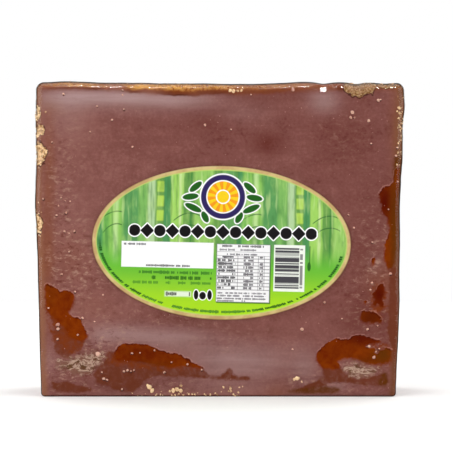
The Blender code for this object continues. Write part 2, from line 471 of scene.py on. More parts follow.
    soaked: tuple[Outline, ...] = (
        ((-69.6, 41), (-66, 33), (-62, 30), (-57.6, 24), (-54.6, 21.2), (-57.6, 16.6), (-63, 18),
         (-67.4, 22), (-69.2, 28), (-70.2, 34)),
        ((-46, 17.4), (-41, 16), (-24, 13.6), (-12, 12.4), (-7, 11), (-20, 10), (-34, 11.2), (-44.6, 12)),
        ((57.6, 21.4), (64, 22.4), (69, 20), (69.6, 13), (62, 11.6), (57.6, 14)),
        ((60.6, 46), (66.4, 46), (66.6, 35), (64, 28.4), (58, 29), (60, 36)),
    )
    crinkled: tuple[Outline, ...] = (
        ((-65.7, 14), (-64.5, 15.1), (-62.5, 14.4), (-58.9, 15.9), (-56.1, 15.6), (-53.1, 17.3),
         (-51.1, 17.3), (-49.7, 18), (-46.3, 17.8), (-46.3, 15.6), (-48.8, 12.3), (-50.8, 10.3),
         (-53.1, 8.9), (-57.3, 8.9), (-58.9, 9.5), (-61.7, 10.9), (-64.5, 11.4)),
        ((49.3, 11.4), (51.3, 12.8), (53.2, 13.3), (56, 12.8), (58, 12), (60.3, 12), (62.2, 11.4),
         (63.6, 11.2), (63.3, 10), (61.1, 9.2), (59.4, 8.3), (57.2, 8.1), (54.1, 7.9), (52.4, 8.6),
         (51, 9.2)),
    )
    deep: tuple[Cloud, ...] = clouds(
        (65.8, 78, 3.6, 8, 1), (63.5, 41, 4, 6, 0.95), (60, 31.5, 5, 4, 0.9), (57, 23.5, 7, 3, 0.9),
        (45, 18.5, 6, 4, 0.3), (-60, 38.5, 3, 5, 0.3), (-31, 17.5, 14, 3.4, 0.45),
    )
    # painted sheen: pale milky clouds where the film stands off the sugar, partly soft reflections painted
    # in, such as the light round the glint at x 41.5
    haze: tuple[Cloud, ...] = clouds(
        (-42, 120.2, 20, 2.8, 0.95), (-16, 119, 13, 2.8, 0.42), (-26, 117, 30, 4, 0.25),
        (-63, 119, 11, 4.2, 0.6), (-62, 111, 8, 6, 0.15), (41.5, 118.5, 6, 4.5, 0.6),
        (10, 113, 9, 4, 0.12), (6, 14, 22, 7, 0.62), (34, 12, 5, 7, 0.3), (-69, 14, 4, 6, 0.2),
        (-40, 25.5, 11, 3.6, 0.35), (-22, 23.5, 17, 4.5, 0.55), (0, 4, 26, 3, 0.12), (46, 5, 6, 3, 0.3),
        (62, 54, 4, 4, 0.2), (-48, 24, 5, 5, 0.2),
    )
    light: tuple[Cloud, ...] = clouds(
        (-50, 31, 20, 12, 0.5), (-62, 88, 13, 30, 0.3), (-62, 108, 12, 10, 0.55), (-56, 62, 12, 16, 0.5),
        (20, 28, 30, 4, 0.2), (-20, 0, 50, 2.4, 0.9),
    )
    dark: tuple[Cloud, ...] = clouds(
        (19, 101.5, 7, 5, 0.9), (-5.5, 110.5, 7, 5, 0.55), (20, 120.4, 17, 3, 0.4), (65.5, 31, 4, 9, 0.4),
        (64, 50, 6, 7, 0.25), (48, 103, 16, 20, 0.4), (58, 37, 6, 7, 0.5), (66, 76, 4, 12, 0.35),
        (16, 114, 14, 5, 0.25), (-6, 27.5, 22, 3, 0.35), (61, 55.5, 6, 5, 0.4), (52, 29, 6, 6, 0.35),
        (62, 26, 14, 12, 0.35), (58, 65, 8, 20, 0.3), (30, 8, 10, 6, 0.3), (-30, 104, 30, 10, 0.2),
    )
    brown: tuple[Cloud, ...] = clouds(
        (-68.5, 88, 2.6, 34, 0.7), (-70.5, 50, 3, 22, 0.6), (-66.5, 116.5, 5, 3.5, 0.6),
        (-60, 55, 8, 9, 0.35), (70, 108, 2.6, 16, 0.6), (64.5, 47, 6, 9, 0.5), (70.5, 40, 3, 34, 0.5),
        (23, 1.5, 6, 4, 0.5), (-52, 36, 9, 5, 0.2),
    )
    tinge: tuple[Cloud, ...] = clouds(
        (65, 16.8, 4.5, 3.6, 1), (69.6, 66, 1.8, 24, 1), (55, 14, 5, 1.6, 0.5), (60, 31.5, 6, 4, 0.3),
        (-67.5, 41, 3, 4, 0.3), (-30, 12.8, 10, 1.6, 0.4),
    )
    scuffed: tuple[Cloud, ...] = clouds(
        (-64, 84, 7, 30, 0.75), (-60, 60, 10, 10, 0.9), (-57, 46, 13, 9, 0.9), (-50, 20, 13, 9, 0.9),
        (-62, 9, 10, 8, 0.9), (-28, 6, 24, 6, 0.6), (-24, 31, 26, 7, 0.45), (62, 62, 8, 22, 0.6),
        (60, 40, 10, 14, 0.65), (63, 19, 8, 7, 0.8), (46, 6, 24, 5, 0.7), (50, 106, 16, 14, 0.3),
        (10, 22, 20, 6, 0.3), (-40, 100, 24, 16, 0.2),
    )
    widened: tuple[Cloud, ...] = top_clouds((-14, 16, 1.25), (12, 10, 0.75), (30, 12, 0.35), (-33, 5, 0.3))
    gild: tuple[Cloud, ...] = top_clouds(
        (-58, 12, 0.6), (-32, 6, 0.9), (-18, 11, 1), (0, 8, 0.6), (22, 14, 0.3), (67, 6, 0.5),
    )
    lined: tuple[Cloud, ...] = top_clouds(
        (-62, 8, 0.7), (-50, 6, 0.7), (-35, 4, 0.8), (-17, 10.5, 1.2), (-1, 7, 0.7), (20, 17, 0.6),
        (48.5, 4, 0.8), (65, 6, 0.4),
    )
    crumbly: tuple[Cloud, ...] = clouds(
        (-55, 126.5, 11, 1.3, 0.25), (-22, 126.5, 15, 1.7, 0.8), (2, 126, 6, 1.7, 0.6),
        (30, 126.8, 12, 0.9, 0.3), (65, 125.8, 5, 1.6, 0.6), (72.2, 111, 1.7, 7, 0.7),
        (72, 97, 1.2, 3, 0.4), (-73.6, 104, 1.1, 12, 0.45), (-73.2, 70, 1.1, 6, 0.4),
        (-14, 0.9, 16, 0.8, 0.5),
    )
    lip_step: float = 0.4

    def deepest(self, places: Array, outlines: Sequence[Outline]) -> Array:
        """How far inside the nearest of the outlines each place is."""
        return np.max([inside_depth(places, outline) for outline in outlines], axis=0)

    def lip(self, places: Array) -> Array:
        """Where the wet patches end upwards.

        Args:
            places: the places, one pair a row.

        Returns:
            1 at upper edges and 0 at side and lower ones, for each place.
        """
        below = self.deepest(places - (0, self.lip_step), self.wet)
        above = self.deepest(places + (0, self.lip_step), self.wet)
        return smooth_step(-0.1, 0.6, (below - above) / (2 * self.lip_step))

    def cover(self, places: Array, patches: Sequence[Cloud]) -> Array:
        """The sum of the clouds, from 0 to 1."""
        return np.clip(sum(cloud.at(places) for cloud in patches), 0, 1)


FRONT_MAP = FrontMap()

# Single grains under the film: place across and up, and radius, in millimetres
SPECKS: tuple[Triple, ...] = (
    (-62.7, 120.8, 0.34), (-43.3, 110.8, 0.32), (-38.5, 115, 0.28), (-39.1, 122.8, 0.3),
    (-39.1, 120.8, 0.2), (12.3, 121.2, 0.26), (29.1, 122.8, 0.46), (63.2, 118.7, 0.46),
    (64.1, 118.9, 0.34), (52.8, 113.9, 0.46), (52.1, 111.8, 0.42), (53.7, 111.8, 0.28),
    (59.4, 110.4, 0.44), (60.4, 101.3, 0.28), (-6.1, 108.8, 0.34), (4.3, 107, 0.22), (-49.3, 116.2, 0.24),
    (-52.1, 106, 0.26), (-35.1, 100, 0.28), (-67.3, 101.8, 0.28), (-70.8, 79.2, 0.32), (-63.7, 79.6, 0.26),
    (-62.1, 78.4, 0.22), (-64.7, 76.4, 0.24), (-60.1, 78.2, 0.22), (-61.7, 73.6, 0.42), (-65.5, 72.6, 0.3),
    (-62.3, 66.2, 0.3), (-58.3, 66.2, 0.34), (-60.5, 65.4, 0.22), (-63.5, 49, 0.32), (-60.5, 58, 0.26),
    (-46.9, 40.8, 0.24), (-50.3, 30, 0.26), (-68.7, 35.5, 0.28), (-65, 28.8, 0.62), (-64.9, 27.2, 0.44),
    (-65.1, 23.1, 0.34), (-57, 24.8, 0.28), (-58.1, 42, 0.34), (-55.1, 31.5, 0.32), (-48.8, 17, 0.7),
    (-35.3, 17.4, 0.34), (-32.1, 17.6, 0.24), (-26.3, 18.6, 0.24), (-19.5, 13.8, 0.24), (-13.1, 13, 0.3),
    (-7.3, 10.7, 0.3), (-22.3, 9.8, 0.34), (-38.5, 10.2, 0.34), (-37.1, 10.6, 0.34), (-35.7, 10.2, 0.3),
    (-34.5, 10.6, 0.28), (-47.4, 9.8, 0.28), (-46.6, 7.2, 0.44), (-45.3, 6.8, 0.36), (-39.3, 3, 0.34),
    (32.7, 27, 0.5), (28.9, 19, 0.26), (41.7, 37.8, 0.34), (48.7, 31.2, 0.24), (58.9, 27, 0.36),
    (62.9, 28.4, 0.26), (61.5, 15.8, 0.42), (59.5, 20.2, 0.36), (63.5, 19.2, 0.34), (62.3, 18, 0.24),
    (68.1, 49.2, 0.44), (67.3, 75, 0.2), (51.3, 72.8, 0.24), (53.5, 67.6, 0.3), (60.9, 61.8, 0.3),
    (60.1, 42.8, 0.28), (60.7, 45.6, 0.28), (70.3, 96.4, 0.34), (70.7, 99.6, 0.3), (71.3, 86, 0.24),
)

# Larger crumbs that came to rest under the film
CRUMBS: tuple[Triple, ...] = (
    (-28.4, 3.9, 1.05), (-27.3, 2.5, 0.9), (-29.1, 4.6, 0.6), (-18.9, 2.5, 0.95), (-17.4, 2.9, 0.95),
    (-15.9, 2.5, 0.9), (-15.7, 4.4, 0.6), (-20.2, 2.2, 0.6), (1.3, 3.8, 0.5), (4.1, 3.2, 0.55),
    (4.3, 2.2, 0.6), (3.9, 3.9, 0.4), (7.6, 3.7, 0.42), (8.9, 4, 0.42), (7.3, 1.7, 0.48),
    (30.6, 7.2, 0.95), (29.5, 6.9, 0.8), (31.3, 7.4, 0.7), (32.6, 6, 0.5), (71.6, 115.6, 0.9),
    (72, 113.6, 0.7), (-73, 112.2, 0.8), (-72.4, 113.6, 0.6), (-69.9, 113.9, 0.55), (-72.9, 115.6, 0.7),
    (-73.2, 101.6, 0.6), (4, 122.9, 0.75), (5.3, 122.7, 0.8), (7, 122.8, 0.75), (8.4, 123, 0.6),
)


# ---- meshes


def grid_lines(low: float, high: float, fine: float, coarse: float, rim: tuple[float, float]) -> list[float]:
    """Grid lines from low to high: fine within a rim at each end, coarse between.

    Args:
        low, high: the two ends.
        fine, coarse: the two spacings.
        rim: the width of the fine stretch at the low and at the high end.

    Returns:
        The places, ends included.
    """
    near = np.linspace(low, low + rim[0], max(2, round(rim[0] / fine) + 1))
    far = np.linspace(high - rim[1], high, max(2, round(rim[1] / fine) + 1))
    count = max(1, round((far[0] - near[-1]) / coarse))
    middle = np.linspace(near[-1], far[0], count + 1)
    return [*near[:-1], *middle, *far[1:]]


def saved(form: bmesh.types.BMesh, name: str) -> Mesh:
    """Store a form as a new mesh.

    Args:
        form: the form, which is freed.
        name: the mesh's name.

    Returns:
        The mesh.
    """
    mesh = bpy.data.meshes.new(name)
    form.to_mesh(mesh)
    form.free()
    return mesh


def grid_mesh(name: str, columns: int, rows: int) -> Mesh:
    """A flat grid over the square from -1 to 1.

    Args:
        name: the mesh's name.
        columns, rows: how many cells it has.

    Returns:
        The grid.
    """
    form = bmesh.new()
    bmesh.ops.create_grid(form, x_segments=columns, y_segments=rows, size=1.0)
    return saved(form, name)


def box_mesh(name: str, lines: Sequence[Sequence[float]]) -> Mesh:
    """A closed box whose six faces are cut along grid lines.

    Args:
        name: the mesh's name.
        lines: the places of the lines along x, y and z, ends included.

    Returns:
        The box.
    """
    form = bmesh.new()
    for axis in range(3):
        first, second = (axis + 1) % 3, (axis + 2) % 3
        for end in (0, -1):
            columns, rows = len(lines[first]) - 1, len(lines[second]) - 1
            patch = grid_mesh("patch", columns, rows)
            points = read_points(patch)
            placed = np.empty_like(points)
            placed[:, axis] = lines[axis][end]
            placed[:, first] = np.array(lines[first])[np.rint((points[:, 0] + 1) / 2 * columns).astype(int)]
            placed[:, second] = np.array(lines[second])[np.rint((points[:, 1] + 1) / 2 * rows).astype(int)]
            write_points(patch, placed)
            if end == 0:
                patch.flip_normals()
            form.from_mesh(patch)
            bpy.data.meshes.remove(patch)
    bmesh.ops.remove_doubles(form, verts=form.verts, dist=1e-6)
    return saved(form, name)


def read_points(mesh: Mesh) -> Array:
    """The mesh's points.

    Args:
        mesh: the mesh.

    Returns:
        Its points, one a row.
    """
    flat = np.empty(len(mesh.vertices) * 3)
    mesh.vertices.foreach_get("co", flat)
    return flat.reshape(-1, 3)


def write_points(mesh: Mesh, points: Array) -> None:
    """Move the mesh's points."""
    mesh.vertices.foreach_set("co", points.astype(np.float32).ravel())
    mesh.update()


def write_values(mesh: Mesh, **values: Array) -> None:
    """Store numbers for each point of the mesh.

    Args:
        mesh: the mesh.
        values: the numbers, under the names that materials and scatters read.
    """
    for name, numbers in values.items():
        attribute = mesh.attributes.new(name, "FLOAT", "POINT")
        attribute.data.foreach_set("value", numbers.astype(np.float32))


def add_piece(name: str, mesh: Mesh, material: Material, smooth: bool = True) -> Object:
    """Link a piece with its material into the scene.

    Args:
        name: the piece's name.
        mesh: its mesh.
        material: its only material.
        smooth: whether its faces are shaded smooth.

    Returns:
        The piece.
    """
    mesh.materials.clear()
    mesh.materials.append(material)
    if smooth:
        mesh.shade_smooth()
    piece = bpy.data.objects.new(name, mesh)
    bpy.context.scene.collection.objects.link(piece)
    return piece


def bake_modifiers(piece: Object) -> None:
    """Turn the piece's modifiers into plain mesh.

    Args:
        piece: the piece, whose modifiers are removed.
    """
    bpy.context.view_layer.update()
    graph = bpy.context.evaluated_depsgraph_get()
    mesh = bpy.data.meshes.new_from_object(piece.evaluated_get(graph))
    old = piece.data
    piece.modifiers.clear()
    piece.data = mesh
    bpy.data.meshes.remove(old)


def thicken(piece: Object, thickness: float) -> None:
    """Give a sheet its thickness.

    Args:
        piece: the sheet.
        thickness: how far it grows outwards.
    """
    solidify = piece.modifiers.new("thickness", "SOLIDIFY")
    solidify.thickness = thickness
    solidify.offset = 1
    bake_modifiers(piece)


def settle(piece: Object, slot: str, *nodes: str) -> None:
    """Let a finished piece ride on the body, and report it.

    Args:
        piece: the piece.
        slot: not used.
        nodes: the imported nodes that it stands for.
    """
    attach(piece, BODY)
    if nodes:
        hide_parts(*nodes)
    triangles = sum(len(polygon.vertices) - 2 for polygon in piece.data.polygons)
    LOG.info("%s: %d triangles", piece.name, triangles)


# ---- shader building


class Value:
    """A number, vector or colour that changes over a surface; arithmetic on it adds nodes to its graph."""

    def __init__(self, graph: "Graph", socket: NodeSocket) -> None:
        """Hold an output socket and the graph that it belongs to."""
        self.graph = graph
        self.socket = socket

    def math(self, operation: str, *others: "Number") -> "Value":
        """A Math node on this value and up to two more."""
        return self.graph.add("ShaderNodeMath", (self, *others), operation=operation)

    def __add__(self, other: "Number") -> "Value":
        """This value plus another."""
        return self.math("ADD", other)

    def __sub__(self, other: "Number") -> "Value":
        """This value less another."""
        return self.math("SUBTRACT", other)

    def __rsub__(self, other: float) -> "Value":
        """A plain number less this value."""
        return self.graph.add("ShaderNodeMath", (other, self), operation="SUBTRACT")

    def __mul__(self, other: "Number") -> "Value":
        """This value times another."""
        return self.math("MULTIPLY", other)

    def __truediv__(self, other: "Number") -> "Value":
        """This value over another."""
        return self.math("DIVIDE", other)

    def __abs__(self) -> "Value":
        """This value without its sign."""
        return self.math("ABSOLUTE")

    def clamped(self) -> "Value":
        """This value kept between 0 and 1."""
        return self.graph.add("ShaderNodeClamp", (self, 0.0, 1.0))

    def share(self) -> "Value":
        """What is left above the whole number."""
        return self.math("FRACT")

    def random(self) -> "Value":
        """A random number from 0 to 1 for each whole number."""
        return ((self.math("FLOOR") * 12.9898).math("SINE") * 437.585).share()

    def length(self, other: "Value") -> "Value":
        """The length of the vector that this number and another make."""
        return (self * self + other * other).math("SQRT")

    def step(self, low: "Number", high: "Number", start: float = 0.0, end: float = 1.0) -> "Value":
        """A smooth step: start at low and end at high."""
        ends = (self, low, high, start, end)
        return self.graph.add("ShaderNodeMapRange", ends, interpolation_type="SMOOTHSTEP")

    def band(self, low: float, high: float, soft: float) -> "Value":
        """1 between low and high, with soft ends."""
        return self.step(low - soft, low + soft) * self.step(high - soft, high + soft, 1.0, 0.0)

    def between(self, first: object, second: object) -> "Value":
        """A mix of two colours by this value."""
        return self.graph.add("ShaderNodeMix", {0: self, 6: first, 7: second}, 2, data_type="RGBA")

    def stretched(self, factor: Triple) -> "Value":
        """This vector times a factor on each axis."""
        return self.graph.add("ShaderNodeMapping", {"Vector": self, "Scale": factor})

    def over(self, size: "Value") -> "Value":
        """This vector over a size."""
        sizes = self.graph.add("ShaderNodeCombineXYZ", (size, size, size))
        return self.graph.add("ShaderNodeVectorMath", (self, sizes), operation="DIVIDE")

    def parts(self) -> tuple["Value", ...]:
        """The three parts of this vector."""
        split = self.graph.add("ShaderNodeSeparateXYZ", (self,)).socket.node
        return tuple(Value(self.graph, socket) for socket in split.outputs)

    def noise(self, scale: float, detail: float = 3.0, roughness: float = 0.55, warp: float = 0.0) -> "Value":
        """Noise from about 0 to 1 at this place."""
        settings = {"Scale": scale, "Detail": detail, "Roughness": roughness, "Distortion": warp}
        return self.graph.add("ShaderNodeTexNoise", {"Vector": self, **settings})


Number = Value | float
Inputs = Mapping[int | str, object] | Sequence[object]


class Graph:
    """Adds nodes to one tree and links them."""

    def __init__(self, tree: NodeTree) -> None:
        """Work on a tree."""
        self.tree = tree

    def feed(self, socket: NodeSocket, value: object) -> None:
        """Link a socket to a value, or set it.

        Args:
            socket: an input socket.
            value: a Value, a plain number, a vector, a colour or whatever else the socket takes.
        """
        if isinstance(value, Value):
            self.tree.links.new(value.socket, socket)
        elif socket.type == "RGBA" and len(value) == 3:
            socket.default_value = (*value, 1)
        else:
            socket.default_value = value

    def fill(self, node: Node, inputs: Inputs) -> None:
        """Feed a node's inputs by name or number, or in order."""
        for key, value in inputs.items() if isinstance(inputs, Mapping) else enumerate(inputs):
            self.feed(node.inputs[key], value)

    def add(self, kind: str, inputs: Inputs = (), output: int | str = 0, **settings: object) -> Value:
        """Add a node.

        Args:
            kind: the node's type.
            inputs: its inputs by name or number, or in order.
            output: the output that is wanted.
            settings: the node's own properties, which are set first.

        Returns:
            The output.
        """
        node = self.tree.nodes.new(kind)
        for name, value in settings.items():
            setattr(node, name, value)
        self.fill(node, inputs)
        return Value(self, node.outputs[output])

    def stored(self, name: str) -> Value:
        """The number that the mesh stores under a name."""
        return self.add("ShaderNodeAttribute", (), "Fac", attribute_name=name)

    def group(self, tree: NodeTree, **inputs: object) -> Value:
        """Place a group with inputs by name."""
        return self.add("ShaderNodeGroup", inputs, node_tree=tree)

    def bump(self, height: Value, strength: float, distance: float) -> Value:
        """The normal from a height."""
        return self.add("ShaderNodeBump", {"Height": height, "Strength": strength, "Distance": distance})


class GroupGraph(Graph):
    """The nodes of a shader group that gives back one number."""

    def __init__(
        self, name: str, numbers: Sequence[str], vectors: Sequence[str] = (), result: str = "Mask"
    ) -> None:
        """Start a group.

        Args:
            name: the group's name.
            numbers, vectors: the names of its inputs.
            result: the output's name.
        """
        super().__init__(bpy.data.node_groups.new(name, "ShaderNodeTree"))
        labels = {**dict.fromkeys(vectors, "Vector"), **dict.fromkeys(numbers, "Float")}
        for label, kind in labels.items():
            self.tree.interface.new_socket(name=label, in_out="INPUT", socket_type=f"NodeSocket{kind}")
        self.tree.interface.new_socket(name=result, in_out="OUTPUT", socket_type="NodeSocketFloat")
        start = self.tree.nodes.new("NodeGroupInput")
        self.given = [Value(self, start.outputs[label]) for label in labels]

    def done(self, value: Value) -> NodeTree:
        """Give the group its result, and give back the finished group."""
        self.fill(self.tree.nodes.new("NodeGroupOutput"), (value,))
        return self.tree


class MaterialGraph(Graph):
    """The nodes of a new material, with the place on the object in millimetres."""

    def __init__(self, name: str) -> None:
        """Start a material.

        Args:
            name: its name.
        """
        self.material = bpy.data.materials.new(name)
        self.material.use_nodes = True
        super().__init__(self.material.node_tree)
        self.place = self.add("ShaderNodeTexCoord", (), "Object").stretched((1 / MM, 1 / MM, 1 / MM))

    def shade(self, colour: object, roughness: Number, normal: Value | None, specular: float) -> Material:
        """Feed the principled shader.

        Args:
            colour, roughness, normal, specular: its inputs.

        Returns:
            The finished material.
        """
        inputs = {"Base Color": colour, "Roughness": roughness, "Specular IOR Level": specular}
        if normal:
            inputs["Normal"] = normal
        self.fill(self.tree.nodes["Principled BSDF"], inputs)
        return self.material


def oval_group() -> NodeTree:
    """A mask that is 1 inside a turned oval.

    Returns:
        The group.
    """
    graph = GroupGraph("oval_mask", ("Across", "Up", "X", "Z", "ReachX", "ReachZ", "Turn", "Edge"))
    across, up, x, z, reach_x, reach_z, turn, edge = graph.given
    aside, above = across - x, up - z
    cosine, sine = turn.math("COSINE"), turn.math("SINE")
    along = (aside * cosine + above * sine) / reach_x
    beside = (above * cosine - aside * sine) / reach_z
    return graph.done(along.length(beside).step(1.0 - edge, edge + 1.0, 1.0, 0.0))


def box_group() -> NodeTree:
    """A mask that is 1 inside an upright rectangle.

    Returns:
        The group.
    """
    graph = GroupGraph("box_mask", ("Across", "Up", "X", "Z", "ReachX", "ReachZ", "Edge"))
    across, up, x, z, reach_x, reach_z, edge = graph.given
    wide, tall = abs(across - x) - reach_x, abs(up - z) - reach_z
    return graph.done(wide.math("MAXIMUM", tall).step(edge * -1.0, edge, 1.0, 0.0))


def dash_group() -> NodeTree:
    """A row of broken dashes, with gaps like those between words.

    Returns:
        The group.
    """
    graph = GroupGraph("dash_row", ("Along", "Across", "Half", "Cell", "Seed"))
    along, across, half, size, seed = graph.given
    cell = along / size + seed * 37.0
    word = (cell / 5.0).random().step(0.12, 0.14)
    tall = cell.random() * 0.45 + 0.55
    inked = (cell + 511.0).random().step(0.16, 0.2)
    gap = abs(cell.share() - 0.5).step(0.36, 0.46, 1.0, 0.35)
    beyond = abs(across) - tall * half
    return graph.done(word * inked * gap * beyond.step(-0.12, 0.12, 1.0, 0.0))


def rule_group() -> NodeTree:
    """Evenly spaced thin lines across a value.

    Returns:
        The group.
    """
    graph = GroupGraph("ruled_lines", ("Value", "Pitch", "Width"))
    value, pitch, width = graph.given
    off = abs((value / pitch).share() - 0.5) * pitch
    return graph.done(off.step(0.0, width * 2.0, 1.0, 0.0))


def frieze_group() -> NodeTree:
    """Discs and lozenges by turns, each of its own half size.

    Returns:
        The group.
    """
    graph = GroupGraph("lozenge_frieze", ("Along", "Across", "Period", "Disc", "Lozenge", "Grow"))
    along, across, period, disc, lozenge, grow = graph.given
    offset = ((along / period).share() - 0.5) * period
    quarter = period / 4.0
    from_disc = (offset + quarter).length(across) - disc
    from_lozenge = (abs(offset - quarter) + abs(across)) * 0.72 - lozenge
    nearest = from_disc.math("MINIMUM", from_lozenge) - grow
    return graph.done(nearest.step(-0.09, 0.09, 1.0, 0.0))


def crumb_group() -> NodeTree:
    """Crumbly grain: bright flecks of broken sugar on darker ground, from 0 to 1.

    Returns:
        The group.
    """
    graph = GroupGraph("crumb_grain", ("Size",), ("Position",), "Grain")
    position, size = graph.given
    place = position.over(size)
    cells = graph.add("ShaderNodeTexVoronoi", {"Vector": place, "Scale": 1.0}, "Distance", feature="F1")
    return graph.done((cells.step(0.15, 0.75, 1.0, 0.0) * 0.45 + place.noise(0.6, 4.0, 0.65) * 0.6).clamped())


def crinkle_group() -> NodeTree:
    """Fine tension lines and wrinkles of stretched film, from 0 to 1.

    Returns:
        The group.
    """
    graph = GroupGraph("film_crinkle", ("Size",), ("Position",), "Crinkle")
    position, size = graph.given
    place = position.over(size)
    streak = place.stretched((0.5, 1.0, 2.2)).noise(0.9, 3.0, 0.6, 1.2)
    return graph.done(streak * 0.35 + place.noise(0.35, 2.0, 0.5, 0.6) * 0.65)


@dataclass
class Tools:
    """The shader node groups that the materials share."""

    oval: NodeTree = field(default_factory=oval_group)
    box: NodeTree = field(default_factory=box_group)
    dashes: NodeTree = field(default_factory=dash_group)
    rules: NodeTree = field(default_factory=rule_group)
    frieze: NodeTree = field(default_factory=frieze_group)
    crumb: NodeTree = field(default_factory=crumb_group)
    crinkle: NodeTree = field(default_factory=crinkle_group)


class Coat:
    """Colours laid over one another."""

    def __init__(self, ground: object) -> None:
        """Start from a ground colour."""
        self.colour = ground

    def lay(self, colour: object, *masks: Number) -> None:
        """Put a colour over what is there.

        Args:
            colour: the colour.
            masks: where and how strongly; their product counts, and the first is a Value.
        """
        share = masks[0]
        for mask in masks[1:]:
            share = share * mask
        self.colour = share.between(self.colour, colour)


# ---- finishes


